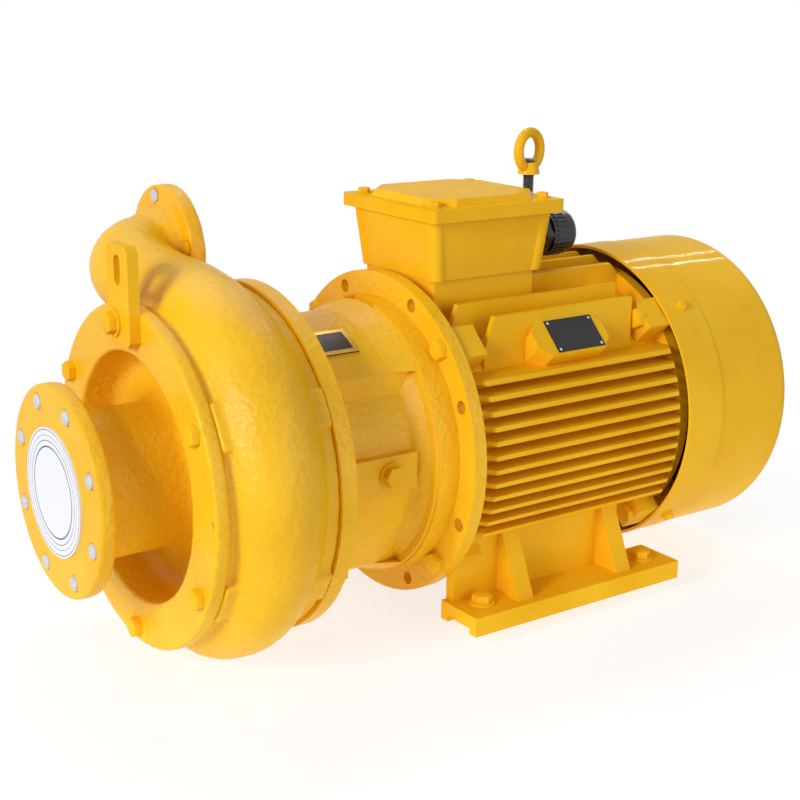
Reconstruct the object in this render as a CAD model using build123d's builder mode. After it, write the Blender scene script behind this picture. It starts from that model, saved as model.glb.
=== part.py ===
from build123d import *
import os
from math import cos, radians, sin

# Close-coupled electric slurry pump. Millimetres, +X runs along the shaft from suction to fan, +Z is up.
# The origin is the centre of the four foot holes, on the underside of the motor feet.

# Fits and clearances
FIT_GAP = 0.3               # spigots, shanks and other seated round pieces
RUN_GAP = 0.1               # running races of the bearings
AIR_GAP = 0.7               # rotor to stator

# Shaft line and motor feet
SHAFT_H = 225.0             # shaft axis above the underside of the feet
FOOT_SPAN_X = 286.0         # foot hole spacing along the shaft
FOOT_SPAN_Y = 356.0         # foot hole spacing across the shaft
FOOT_HOLE_D = 19.0
FOOT_L = 363.0
FOOT_W = 75.0
FOOT_T = 26.0
FOOT_LIP_W = 14.0           # lips along both edges under each foot
FOOT_LIP_H = 9.0
FOOT_PAD_L = 56.0           # solid pads under the foot holes
FOOT_WALL_T = 15.0          # upright wall from foot to frame
WALL_STOP = 72.0            # the wall ends this far before the fan end of the frame
GUSSET_T = 26.0
GUSSET_REACH = 62.0         # how far a gusset runs out over the foot
GUSSET_RISE = 92.0

# Motor frame
FRAME_TO_FOOT = 31.0        # drive-end face of the frame to the first foot holes
FRAME_L = 360.0
GUSSET_SPAN = FRAME_L - 184.0 # both gussets clear of the lugs
FRAME_R = 176.0
FRAME_WALL = 14.0
FIN_R = FRAME_R + 35.0      # envelope of the fins
FIN_T = 6.0
FIN_COUNT = 12
FIN_PITCH = 18.5
FIN_CHAMFER = 24.0          # slope at the drive end of each fin
FIN_NOTCH = 14.0            # slope at the fan end of each fin
UPRIGHT_FIN_COUNT = 4       # fins along the crown and the belly
UPRIGHT_FIN_PITCH = 36.0
SHOULDER_TOP = FRAME_R + 11.5 # inner shoulder plate above the shaft
SHOULDER_FALL = 13.0        # outer plate below the inner one
SHOULDER_T = 8.0
SHOULDER_Y = 104.0          # inner shoulder plate, from the shaft plane
SHOULDER_STEP = 34.0
SHOULDER_START = 34.0       # inner plate from the drive end, at its top
SHOULDER_LAG = 34.0         # outer plate behind the inner one
SHOULDER_STOP = 51.0        # shoulder plates end this far before the fan end
SHOULDER_SLOPE = 42.0       # height of the leaning front edge
SHOULDER_RUN = 15.0         # length that it leans over
LUG_W = 46.0                # bolt lugs on the frame ends
LUG_TOP_R = FRAME_R + 37.0
LUG_TURN = 45.0             # first lug, degrees from +Y
LUG_L = 38.0
DRIVE_RING_R = FRAME_R + 20.0
DRIVE_RING_T = 14.0

# Motor nameplate pad, on the shoulder facing up and out
PAD_L = 122.0
PAD_W = 56.0
PAD_R = FRAME_R + 38.0      # pad face from the shaft axis
PAD_TURN = 135.0            # degrees from +Y
PAD_X = 8.0
PAD_DROP = 14.0             # pad below the middle of the shoulder, along its face
PAD_CORNER = 16.0
NAMEPLATE_L = 80.0
NAMEPLATE_W = 49.0
NAMEPLATE_T = 1.5
NAMEPLATE_X = 6.0           # plate behind the middle of its pad

# Stator, rotor and bearings
STATOR_INSET = 80.0         # frame ends to the stator core
STATOR_BORE_R = 105.0
WINDING_L = 44.0
WINDING_R = 150.0
ROTOR_RING_L = 22.0
ROTOR_RING_R = 92.0
ROTOR_SHAFT_R = 45.0
DRIVE_BEARING_D = 140.0
DRIVE_BEARING_BORE = 65.0
DRIVE_BEARING_B = 33.0
FAN_BEARING_D = 130.0
FAN_BEARING_BORE = 60.0
FAN_BEARING_B = 31.0
RACE_T = 12.0               # thickness of the outer bearing rings
CAP_RING_T = 12.0           # inner bearing cover
SHAFT_CLEAR = 1.5           # shaft to the covers it passes through

# Fan end
SHIELD_T = 16.0
SHIELD_SPIGOT = 8.0
SHIELD_R = FRAME_R + 20.0
SHIELD_HUB_L = 48.0
SHIELD_LUG_W = 30.0
COWL_R = FRAME_R + 43.0
COWL_WALL = 4.0
COWL_L = 205.0
COWL_LAP = 2.0              # cowl edge over the fin ends
COWL_BAND_L = 65.0          # front band up to the seam
COWL_SEAM_STEP = 1.5
COWL_ROUND = 17.0
COWL_SLOT_L = 84.0
COWL_SLOT_W = 9.0
COWL_SLOT_COUNT = 24
COWL_SLOT_R = 128.0
FAN_R = 168.0
FAN_L = 52.0
FAN_GAP = 26.0              # end shield hub to fan
FAN_BLADES = 9
FAN_BLADE_T = 6.0
FAN_HUB_R = 42.0
FAN_BORE_R = 24.0
FAN_DISC_T = 6.0

# Lantern bracket between motor and casing
LANTERN_L = 218.0
LANTERN_BOLT_R = 206.0
LANTERN_FRONT_R = LANTERN_BOLT_R + 19.5
LANTERN_FRONT_T = 21.0
LANTERN_BODY_R = LANTERN_BOLT_R - 33.0 # inside the bolt heads
LANTERN_WALL = 33.0
LANTERN_STEP_R = FRAME_R + 11.0 # inside the flange bolts
LANTERN_STEP_L = 30.0
LANTERN_REAR_R = FRAME_R + 43.0
LANTERN_REAR_T = 18.0
LANTERN_WEB_T = 13.0        # wall in front of the drive bearing
LANTERN_BAY = 22.0          # open depth behind the bearing wall
LANTERN_CONE_L = 38.0       # cone in front of the step ring
LANTERN_CONE_R = LANTERN_STEP_R - 3.0
POCKET_DEPTH = 18.0         # recessed panel in both sides
POCKET_Y = LANTERN_BODY_R - 47.0 # upright upper wall of the panel, from the shaft plane
POCKET_TOP = 119.0
POCKET_FLOOR = 91.0         # lower wall starts this far below the shaft
POCKET_FOOT_Y = LANTERN_BODY_R - 79.0
POCKET_FOOT = 146.0
POCKET_LAND = 4.0           # land between panel and step ring
POCKET_SLOPE = 17.0         # rear wall of the panel leans over this length
BOSS_L = 116.0              # raised pad with the side plug
BOSS_W = 48.0
BOSS_Y = LANTERN_BODY_R - 7.0
BOSS_PLUG = 40.0            # plug from the rear edge of its pad
SLOT_W = 70.0               # vent slot at the crown of the step ring
SLOT_L = 18.0
FLANGE_BOLT_R = FRAME_R + 26.5
FLANGE_HOLE_TURN = 22.5     # first spare hole, degrees from the horizontal
FLANGE_HOLE_D = 18.0
FLANGE_HOLES = 8

# Rating plate on the lantern, curved to the body
PLATE_L = 78.0
PLATE_ARC = 14.6            # degrees of the body that it covers
PLATE_TILT = 63.0           # degrees above the shaft plane, on the near side
PLATE_T = 1.5
PLATE_INSET = 8.0           # behind the front flange

# Volute casing
CASE_L = 141.0
CASE_BORE_R = 182.0
CASE_FRONT_R = 208.0
CASE_FRONT_T = 20.0
CASE_REAR_R = 221.0
CASE_REAR_T = 20.0
CASE_NECK_R = 200.0
CASE_LUG_W = 58.0
CASE_LUG_R = 216.0
CASE_PAD_W = 46.0
CASE_PAD_R = 226.0
CASE_PAD_L = 36.0           # pads behind the lantern bolts on both sides
VOLUTE_R = 186.0            # centre line of the spiral
TUBE_START_R = 52.0
TUBE_END_R = 66.0
CASE_WALL = 16.0
SPIRAL_START = 60.0         # degrees from +Y towards +Z
CUTWATER = 20.0
SPIRAL_SPLIT = -100.0
SPIRAL_END = -260.0
SPIRAL_STEPS = 5            # sections in each half of the spiral
OUTLET_RUN = 190.0          # straight run from the spiral to the elbow
ELBOW_TUBE_R = 55.0
ELBOW_R = 75.0
OUTLET_WALL = 14.0
OUTLET_STUB = 18.5          # elbow end to the flange face
DISCHARGE_R = 91.0
DISCHARGE_T = 22.0
DISCHARGE_PCD = 152.0
DISCHARGE_HOLES = 4
DISCHARGE_HOLE_D = 19.0
DISCHARGE_TURN = 78.0       # first hole, degrees from +Y
FLARE_R = 66.0              # elbow flare at the discharge flange
FLARE_L = 30.0
FLARE_TAPER = 20.0          # degrees

# Suction cover
SUCTION_REACH = 99.0        # suction face to cover ring
SUCTION_R = 130.0
SUCTION_T = 20.0
SUCTION_PCD = 220.0
SUCTION_HOLES = 8
SUCTION_HOLE_D = 19.0
SUCTION_TURN = 22.5         # first hole, degrees from the horizontal
SUCTION_BORE_R = 75.0
NECK_R = 91.0
NECK_FLARE = 34.0
COVER_R = 215.0
COVER_RING_T = 19.0
COVER_SPIGOT = 13.0
COVER_FLOOR_T = 15.0
BOWL_DEPTH = 54.0
BOWL_R = 156.5
BOWL_DRAFT = 6.0
BOWL_ROUND = 20.0
COVER_BOLT_R = 196.0
COVER_BOLTS = 6
COVER_TURN = 30.0           # first bolt, degrees from the horizontal
JACK_HOLE_R = 204.0
JACK_HOLE_D = 9.0
EDGE = 2.5                  # broken edges of the cast flanges
LINER_T = 10.0
LINER_R = 172.0
CAP_R = 79.0                # push-in suction cap
CAP_T = 3.0
CAP_SPIGOT_L = 16.0
CAP_WALL = 3.0

# Lifting bar on the cover
BAR_W = 58.0
BAR_T = 14.0
BAR_Y = -11.0               # the bar stands to the near side of its bolt
BAR_FOOT = 26.0             # bar end below its bolt
BAR_RISE = 94.0             # bar end above its bolt
BAR_CORNER = 7.0
BAR_SLOT_L = 36.0
BAR_SLOT_DROP = 30.0        # bar end to the middle of the slot
BAR_SLOT_W = 16.0

# Wet end and shaft seal
BACK_PLATE_T = 28.0
BACK_PLATE_BORE_R = 44.0
IMPELLER_R = 160.0
IMPELLER_GAP = 3.0          # impeller to liner and back plate
SHROUD_T = 9.0
IMPELLER_EYE_R = 76.0
IMPELLER_HUB_R = 48.0
VANES = 5
VANE_T = 12.0
VANE_BOW = 110.0            # arc radius of the vanes
VANE_SWEEP = 62.0           # degrees from vane root to tip
IMPELLER_SEAT_R = 28.0
SLEEVE_R = 40.0
SLEEVE_SEAT_R = 30.0
SLEEVE_L = 120.0
SEAL_RING_R = 46.0
SEAL_RING_L = 22.0
GLAND_L = 34.0
GLAND_R = 84.0
GLAND_FLANGE_T = 12.0

# Fasteners
BOLT_D = 16.0
BOLT_AF = 24.0
BOLT_HEAD = 10.0
LID_BOLT_D = 8.0
LID_BOLT_AF = 14.0
LID_BOLT_HEAD = 6.0
SCREW_D = 8.0
SCREW_AF = 13.0
SCREW_HEAD = 6.0
WASHER_R = 17.0
WASHER_T = 3.0
PLUG_L = 14.0

# Terminal box
NECK_TOP = SHAFT_H + FRAME_R + 39.0 # top of the box neck above the feet
BOX_X = -70.0
BOX_FOOT_L = 179.0
BOX_FOOT_W = 164.0
BOX_TOP_L = 197.0
BOX_TOP_W = 178.0
BOX_H = 77.0
BOX_WALL = 7.0
BOX_CORNER = 12.0
BOX_FLOOR = 8.0
COLUMN_R = 12.0             # corner columns of the box
COLUMN_PROUD = 3.0          # columns stand out of both walls
NECK_INSET = 4.0
NECK_SETBACK = 11.0         # neck behind the box wall on the fan side
WIRE_WAY_L = 80.0
WIRE_WAY_W = 60.0
GASKET_T = 2.0
GASKET_W = 16.0
LID_L = 218.0
LID_W = 210.0
LID_T = 17.0
LID_PANEL_H = 9.0
LID_PANEL_INSET = 30.0
LID_PANEL_SLOPE = 10.0
LID_PANEL_CUT = 32.0        # cut corners round the lid bolts
BOARD_L = 60.0
BOARD_W = 110.0
BOARD_H = 22.0
BOARD_X = 66.0              # board to the middle of the box, towards the suction side
STUD_PITCH_X = 30.0
STUD_PITCH_Y = 36.0
STUD_D = 8.0
STUD_H = 18.0
GLAND_Y = -50.0
GLAND_Z = NECK_TOP + 42.0
GLAND_THREAD_R = 22.0
GLAND_HEX_AF = 54.0
GLAND_HEX_L = 14.0
GLAND_DOME_R = 30.5
GLAND_DOME_L = 43.0
GLAND_BOSS_R = 34.0
GLAND_BOSS_H = 3.0          # gland seat in front of the box wall

# Lifting eye on the frame crown
EYE_X = 62.0
EYE_STUD_D = 16.0
EYE_STUD_TOP = SHAFT_H + FRAME_R + 177.0
EYE_BOSS_R = 18.0
EYE_BOSS_H = 20.0
EYE_STUD_GRIP = 24.0
EYE_COLLAR_R = 15.5
EYE_COLLAR_Z = SHAFT_H + FRAME_R + 156.0
EYE_COLLAR_H = 16.0
EYE_Z = SHAFT_H + FRAME_R + 188.0
EYE_RING_R = 24.5
EYE_WIRE_R = 7.0
EYE_COLLAR_TAPER = 12.0     # degrees, collar up to the ring
EYE_TURN = 14.0             # degrees that the eye is turned from the shaft line

# Stations along the shaft
x_frame = -FOOT_SPAN_X / 2 - FRAME_TO_FOOT
x_frame_end = x_frame + FRAME_L
x_lantern = x_frame - LANTERN_L
x_case = x_lantern - CASE_L
x_cover = x_case - COVER_RING_T
x_suction = x_cover - SUCTION_REACH
x_volute = (x_case + x_lantern) / 2
x_floor = x_cover + BOWL_DEPTH
x_liner = x_floor + COVER_FLOOR_T
x_impeller = x_liner + LINER_T + IMPELLER_GAP
x_back = x_lantern - BACK_PLATE_T
x_impeller_end = x_back - IMPELLER_GAP
x_bay = x_frame - LANTERN_BAY
x_drive_bearing = x_bay - DRIVE_BEARING_B
x_step = x_frame - LANTERN_REAR_T - LANTERN_STEP_L
x_hub_end = x_frame_end + SHIELD_HUB_L
x_fan_bearing = x_hub_end - SHIELD_T / 2 - FAN_BEARING_B
x_cowl = x_frame_end - COWL_LAP
x_cowl_end = x_cowl + COWL_L
x_fan = x_hub_end + FAN_GAP
x_stator = x_frame + STATOR_INSET
x_stator_end = x_frame_end - STATOR_INSET
frame_bore_r = FRAME_R - FRAME_WALL
box_top_z = NECK_TOP + BOX_H
lid_z = box_top_z + GASKET_T

SHAFT = Axis((0, 0, SHAFT_H), (1, 0, 0))
SHAFT_PLANE = Plane(origin=(0, 0, SHAFT_H), x_dir=(1, 0, 0), z_dir=(0, -1, 0))


def to_fan(x):
    """Plane across the shaft that faces the fan, with Y to the right and Z up."""
    return Plane(origin=(x, 0, SHAFT_H), x_dir=(0, 1, 0), z_dir=(1, 0, 0))


def to_suction(x):
    """Plane across the shaft that faces the suction, with -Y to the right and Z up."""
    return Plane(origin=(x, 0, SHAFT_H), x_dir=(0, -1, 0), z_dir=(-1, 0, 0))


def outward(x, degrees, radius):
    """Plane that faces away from the shaft, at an angle from +Y towards +Z."""
    y, z = cos(radians(degrees)), sin(radians(degrees))
    return Plane(origin=(x, radius * y, SHAFT_H + radius * z), x_dir=(1, 0, 0), z_dir=(0, y, z))


def on_circle(radius, count, first):
    """Points on a bolt circle, in the axes of a plane across the shaft."""
    angles = [radians(first + 360 / count * k) for k in range(count)]
    return [(radius * cos(a), radius * sin(a)) for a in angles]


def turned(*profile, mode=Mode.ADD):
    """Turn a closed profile of (x, radius) points about the shaft."""
    with BuildSketch(SHAFT_PLANE) as outline:
        with BuildLine():
            Polyline(*profile, close=True)
        make_face()
    revolve(outline.sketch, axis=SHAFT, mode=mode)


def drilled(plane, spots, diameter, depth):
    """Round holes into the material behind a plane."""
    with BuildSketch(plane) as mouths:
        with Locations(*spots):
            Circle(diameter / 2)
    extrude(mouths.sketch, amount=-depth, mode=Mode.SUBTRACT)


def hex_bolts(plane, spots, diameter, length, across_flats, head):
    """Hex bolts whose heads sit on a plane and whose shanks run into the material behind it."""
    with BuildSketch(plane) as heads:
        with Locations(*spots):
            RegularPolygon(across_flats / 2, 6, major_radius=False)
    extrude(heads.sketch, amount=head)
    with BuildSketch(plane) as shanks:
        with Locations(*spots):
            Circle(diameter / 2)
    extrude(shanks.sketch, amount=-length)


def tube_radius(degrees):
    """Outer radius of the spiral tube at an angle round the shaft."""
    share = (SPIRAL_START - degrees) / (SPIRAL_START - SPIRAL_END)
    return TUBE_START_R + (TUBE_END_R - TUBE_START_R) * share


def spiral_plane(degrees):
    """Plane across the spiral tube, facing along the flow."""
    y, z = cos(radians(degrees)), sin(radians(degrees))
    centre = (x_volute, VOLUTE_R * y, SHAFT_H + VOLUTE_R * z)
    return Plane(origin=centre, x_dir=(1, 0, 0), z_dir=(0, z, -y))


outlet_start = spiral_plane(SPIRAL_END)
elbow_start = outlet_start.offset(OUTLET_RUN)
elbow_axis = Axis(elbow_start.origin + Vector(ELBOW_R, 0, 0), elbow_start.z_dir.cross(Vector(1, 0, 0)))
elbow_end = elbow_start.origin + elbow_start.z_dir * ELBOW_R + Vector(ELBOW_R, 0, 0)
discharge_face = Plane(origin=elbow_end + Vector(OUTLET_STUB, 0, 0), x_dir=(0, 1, 0), z_dir=(1, 0, 0))
x_discharge = discharge_face.origin.X

cover_spots = on_circle(COVER_BOLT_R, COVER_BOLTS, COVER_TURN)
lantern_spots = on_circle(LANTERN_BOLT_R, COVER_BOLTS, COVER_TURN)
lug_spots = on_circle(FLANGE_BOLT_R, 4, LUG_TURN)
foot_spots = [(sx * FOOT_SPAN_X / 2, sy * FOOT_SPAN_Y / 2) for sx in (-1, 1) for sy in (-1, 1)]
column_inset = COLUMN_R - COLUMN_PROUD
lid_spots = [
    (BOX_X + sx * (BOX_TOP_L / 2 - column_inset), sy * (BOX_TOP_W / 2 - column_inset))
    for sx in (-1, 1)
    for sy in (-1, 1)
]

# Suction cover: flange, flared neck and bowl, with the bolted ring round it
with BuildPart() as suction_cover:
    with BuildSketch(SHAFT_PLANE):
        with BuildLine():
            FilletPolyline(
                (x_suction, SUCTION_BORE_R),
                (x_suction, SUCTION_R),
                (x_suction + SUCTION_T, SUCTION_R),
                (x_suction + SUCTION_T, NECK_R),
                (x_floor, NECK_R),
                (x_floor, BOWL_R - BOWL_DRAFT),
                (x_cover, BOWL_R),
                (x_cover, COVER_R),
                (x_case, COVER_R),
                (x_case, CASE_BORE_R - FIT_GAP),
                radius=[EDGE, EDGE, 4 * EDGE, NECK_FLARE, BOWL_ROUND, EDGE, EDGE, EDGE],
            )
            Polyline(
                (x_case, CASE_BORE_R - FIT_GAP),
                (x_case + COVER_SPIGOT, CASE_BORE_R - FIT_GAP),
                (x_liner, LINER_R),
                (x_liner, SUCTION_BORE_R),
                (x_suction, SUCTION_BORE_R),
            )
        make_face()
    revolve(axis=SHAFT)
    suction_spots = on_circle(SUCTION_PCD / 2, SUCTION_HOLES, SUCTION_TURN)
    drilled(to_suction(x_suction), suction_spots, SUCTION_HOLE_D, SUCTION_T)
    drilled(to_suction(x_cover), cover_spots, BOLT_D + 2 * FIT_GAP, COVER_RING_T)
    drilled(to_suction(x_cover), on_circle(JACK_HOLE_R, 2, 0), JACK_HOLE_D, COVER_RING_T)
suction_cover.part.label = "suction_cover"

# Wear liner behind the cover floor
with BuildPart() as throat_liner:
    turned(
        (x_liner, SUCTION_BORE_R),
        (x_liner + LINER_T, SUCTION_BORE_R),
        (x_liner + LINER_T, LINER_R),
        (x_liner, LINER_R),
    )
throat_liner.part.label = "throat_liner"

# Push-in cap that closes the suction bore for transport
with BuildPart() as suction_cap:
    cap_spigot_r = SUCTION_BORE_R - FIT_GAP
    turned(
        (x_suction - CAP_T, 0),
        (x_suction - CAP_T, CAP_R),
        (x_suction, CAP_R),
        (x_suction, cap_spigot_r),
        (x_suction + CAP_SPIGOT_L, cap_spigot_r),
        (x_suction + CAP_SPIGOT_L, cap_spigot_r - CAP_WALL),
        (x_suction, cap_spigot_r - CAP_WALL),
        (x_suction, 0),
    )
suction_cap.part.label = "suction_cap"

# Outside of the spiral, the outlet run, the elbow and the stub of the discharge
with BuildPart() as casing_shell:
    for k in range(SPIRAL_STEPS + 1):
        angle = SPIRAL_START + (SPIRAL_SPLIT - SPIRAL_START) * k / SPIRAL_STEPS
        with BuildSketch(spiral_plane(angle)):
            Circle(tube_radius(angle))
    loft()
    for k in range(SPIRAL_STEPS + 1):
        angle = SPIRAL_SPLIT + (SPIRAL_END - SPIRAL_SPLIT) * k / SPIRAL_STEPS
        with BuildSketch(spiral_plane(angle)):
            Circle(tube_radius(angle))
    with BuildSketch(outlet_start.offset(OUTLET_RUN / 2)):
        Circle((TUBE_END_R + ELBOW_TUBE_R) / 2)
    with BuildSketch(elbow_start):
        Circle(ELBOW_TUBE_R)
    loft()
    with BuildSketch(elbow_start):
        Circle(ELBOW_TUBE_R)
    revolve(axis=elbow_axis, revolution_arc=90)
    with BuildSketch(discharge_face):
        Circle(ELBOW_TUBE_R)
    extrude(amount=-OUTLET_STUB)

# Water way inside the casing
with BuildPart() as water_way:
    for k in range(SPIRAL_STEPS + 1):
        angle = CUTWATER + (SPIRAL_SPLIT - CUTWATER) * k / SPIRAL_STEPS
        with BuildSketch(spiral_plane(angle)):
            Circle(tube_radius(angle) - CASE_WALL)
    loft()
    for k in range(SPIRAL_STEPS + 1):
        angle = SPIRAL_SPLIT + (SPIRAL_END - SPIRAL_SPLIT) * k / SPIRAL_STEPS
        with BuildSketch(spiral_plane(angle)):
            Circle(tube_radius(angle) - CASE_WALL)
    with BuildSketch(outlet_start.offset(OUTLET_RUN / 2)):
        Circle((TUBE_END_R - CASE_WALL + ELBOW_TUBE_R - OUTLET_WALL) / 2)
    with BuildSketch(elbow_start):
        Circle(ELBOW_TUBE_R - OUTLET_WALL)
    loft()
    with BuildSketch(elbow_start):
        Circle(ELBOW_TUBE_R - OUTLET_WALL)
    revolve(axis=elbow_axis, revolution_arc=90)
    with BuildSketch(discharge_face):
        Circle(ELBOW_TUBE_R - OUTLET_WALL)
    extrude(amount=-OUTLET_STUB)

# Volute casing: the shell with its flanges, lugs and pads, opened by the water way and the bore
with BuildPart() as volute_casing:
    add(casing_shell.part)
    turned(
        (x_case, CASE_BORE_R - CASE_WALL),
        (x_case, CASE_FRONT_R),
        (x_case + CASE_FRONT_T, CASE_FRONT_R),
        (x_case + CASE_FRONT_T, CASE_NECK_R),
        (x_lantern - CASE_REAR_T, CASE_NECK_R),
        (x_lantern - CASE_REAR_T, CASE_REAR_R),
        (x_lantern, CASE_REAR_R),
        (x_lantern, CASE_BORE_R - CASE_WALL),
    )
    with BuildSketch(to_fan(x_case)):
        with PolarLocations((CASE_BORE_R + CASE_LUG_R) / 2, COVER_BOLTS, COVER_TURN):
            Rectangle(CASE_LUG_R - CASE_BORE_R, CASE_LUG_W)
    extrude(amount=CASE_FRONT_T)
    with BuildSketch(to_suction(x_lantern)):
        for middle in (0, 180):
            with PolarLocations((CASE_BORE_R + CASE_PAD_R) / 2, 2, middle - COVER_TURN, 4 * COVER_TURN):
                Rectangle(CASE_PAD_R - CASE_BORE_R, CASE_PAD_W)
    extrude(amount=CASE_PAD_L)
    with BuildSketch(discharge_face):
        Circle(DISCHARGE_R)
    extrude(amount=-DISCHARGE_T)
    with BuildSketch(discharge_face.offset(-DISCHARGE_T)):
        Circle(FLARE_R)
    extrude(amount=-FLARE_L, taper=FLARE_TAPER)
    add(water_way.part, mode=Mode.SUBTRACT)
    with BuildSketch(to_fan(x_case)):
        Circle(CASE_BORE_R)
    extrude(amount=CASE_L, mode=Mode.SUBTRACT)
    discharge_spots = on_circle(DISCHARGE_PCD / 2, DISCHARGE_HOLES, DISCHARGE_TURN)
    drilled(discharge_face, discharge_spots, DISCHARGE_HOLE_D, DISCHARGE_T)
    drilled(to_suction(x_case), cover_spots, BOLT_D + 2 * FIT_GAP, BOLT_D + FIT_GAP)
    drilled(to_fan(x_lantern), lantern_spots, BOLT_D + 2 * FIT_GAP, BOLT_D + FIT_GAP)
volute_casing.part.label = "volute_casing"

# Back plate that closes the casing on the motor side
with BuildPart() as back_plate:
    turned(
        (x_back, BACK_PLATE_BORE_R),
        (x_back, CASE_BORE_R - FIT_GAP),
        (x_lantern, CASE_BORE_R - FIT_GAP),
        (x_lantern, BACK_PLATE_BORE_R),
    )
back_plate.part.label = "back_plate"

# Slotted lifting bar, held by the top cover bolt
bar_foot_z = SHAFT_H + COVER_BOLT_R - BAR_FOOT
bar_top_z = SHAFT_H + COVER_BOLT_R + BAR_RISE
bar_plane = Plane(origin=(x_cover, BAR_Y, bar_foot_z), x_dir=(0, 0, 1), z_dir=(-1, 0, 0))
with BuildPart() as lifting_bar:
    with BuildSketch(bar_plane) as bar:
        Rectangle(bar_top_z - bar_foot_z, BAR_W, align=(Align.MIN, Align.CENTER))
        chamfer(bar.vertices().group_by(Axis.Z)[-1], BAR_CORNER)
        with Locations((bar_top_z - bar_foot_z - BAR_SLOT_DROP, 0)):
            SlotOverall(BAR_SLOT_L, BAR_SLOT_W, mode=Mode.SUBTRACT)
    extrude(amount=BAR_T)
    drilled(to_suction(x_cover - BAR_T), [(0, COVER_BOLT_R)], BOLT_D + 2 * FIT_GAP, BAR_T)
lifting_bar.part.label = "lifting_bar"

# Cover bolts: the one at the top also holds the lifting bar
with BuildPart() as cover_bolts:
    top_spot = (0, COVER_BOLT_R)
    low_spots = [spot for spot in cover_spots if spot[1] < COVER_BOLT_R - BOLT_D]
    cover_grip = COVER_RING_T + BOLT_D
    hex_bolts(to_suction(x_cover), low_spots, BOLT_D, cover_grip, BOLT_AF, BOLT_HEAD)
    hex_bolts(to_suction(x_cover - BAR_T), [top_spot], BOLT_D, cover_grip + BAR_T, BOLT_AF, BOLT_HEAD)
cover_bolts.part.label = "cover_bolts"

# Recesses in both sides of the lantern body
with BuildPart() as lantern_pockets:
    turned(
        (x_lantern + LANTERN_FRONT_T, LANTERN_BODY_R - POCKET_DEPTH),
        (x_lantern + LANTERN_FRONT_T, LANTERN_STEP_R),
        (x_step - POCKET_LAND, LANTERN_STEP_R),
        (x_step - POCKET_LAND, LANTERN_BODY_R),
        (x_step - POCKET_LAND - POCKET_SLOPE, LANTERN_BODY_R - POCKET_DEPTH),
    )
    with BuildSketch(to_fan(x_lantern)):
        for side in (-1, 1):
            with BuildLine():
                Polyline(
                    (side * POCKET_Y, POCKET_TOP),
                    (side * POCKET_Y, -POCKET_FLOOR),
                    (side * POCKET_FOOT_Y, -POCKET_FOOT),
                    (side * LANTERN_FRONT_R, -POCKET_FOOT),
                    (side * LANTERN_FRONT_R, POCKET_TOP),
                    close=True,
                )
            make_face()
    extrude(amount=LANTERN_L, mode=Mode.INTERSECT)

# Lantern bracket: carries the casing, the shaft seal and the drive bearing
lantern_bore_r = LANTERN_BODY_R - LANTERN_WALL
boss_end = x_step - POCKET_LAND - POCKET_SLOPE
boss_x = boss_end - BOSS_PLUG
with BuildPart() as lantern_bracket:
    turned(
        (x_lantern, lantern_bore_r),
        (x_lantern, LANTERN_FRONT_R),
        (x_lantern + LANTERN_FRONT_T, LANTERN_FRONT_R),
        (x_lantern + LANTERN_FRONT_T, LANTERN_BODY_R),
        (x_step - LANTERN_CONE_L, LANTERN_BODY_R),
        (x_step, LANTERN_CONE_R),
        (x_step, LANTERN_STEP_R),
        (x_step + LANTERN_STEP_L, LANTERN_STEP_R),
        (x_step + LANTERN_STEP_L, LANTERN_REAR_R),
        (x_frame, LANTERN_REAR_R),
        (x_frame, frame_bore_r - FIT_GAP),
        (x_frame + SHIELD_SPIGOT, frame_bore_r - FIT_GAP),
        (x_frame + SHIELD_SPIGOT, lantern_bore_r),
        (x_bay, lantern_bore_r),
        (x_bay, DRIVE_BEARING_D / 2),
        (x_drive_bearing, DRIVE_BEARING_D / 2),
        (x_drive_bearing, DRIVE_BEARING_BORE / 2 + SHAFT_CLEAR),
        (x_drive_bearing - LANTERN_WEB_T, DRIVE_BEARING_BORE / 2 + SHAFT_CLEAR),
        (x_drive_bearing - LANTERN_WEB_T, lantern_bore_r),
    )
    add(lantern_pockets.part, mode=Mode.SUBTRACT)
    with BuildSketch(Plane.XZ.offset(lantern_bore_r + LANTERN_WALL / 4)):
        with Locations((boss_end - BOSS_L / 2, SHAFT_H)):
            Rectangle(BOSS_L, BOSS_W)
    extrude(amount=BOSS_Y - lantern_bore_r - LANTERN_WALL / 4)
    with BuildSketch(Plane.XY.offset(SHAFT_H + LANTERN_BODY_R)):
        with Locations((x_step + SLOT_L / 2, 0)):
            Rectangle(SLOT_L, SLOT_W)
    extrude(amount=LANTERN_STEP_R, mode=Mode.SUBTRACT)
    drilled(to_fan(x_lantern + LANTERN_FRONT_T), lantern_spots, BOLT_D + 2 * FIT_GAP, LANTERN_FRONT_T)
    rear_face = to_suction(x_frame - LANTERN_REAR_T)
    drilled(rear_face, lug_spots, BOLT_D + 2 * FIT_GAP, LANTERN_REAR_T)
    spare_spots = on_circle(FLANGE_BOLT_R, FLANGE_HOLES, FLANGE_HOLE_TURN)
    drilled(rear_face, spare_spots, FLANGE_HOLE_D, LANTERN_REAR_T)
    drilled(Plane.XZ.offset(BOSS_Y), [(boss_x, SHAFT_H)], BOLT_D + 2 * FIT_GAP, PLUG_L + FIT_GAP)
lantern_bracket.part.label = "lantern_bracket"

with BuildPart() as lantern_bolts:
    lantern_grip = LANTERN_FRONT_T + BOLT_D
    hex_bolts(to_fan(x_lantern + LANTERN_FRONT_T), lantern_spots, BOLT_D, lantern_grip, BOLT_AF, BOLT_HEAD)
lantern_bolts.part.label = "lantern_bolts"

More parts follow.
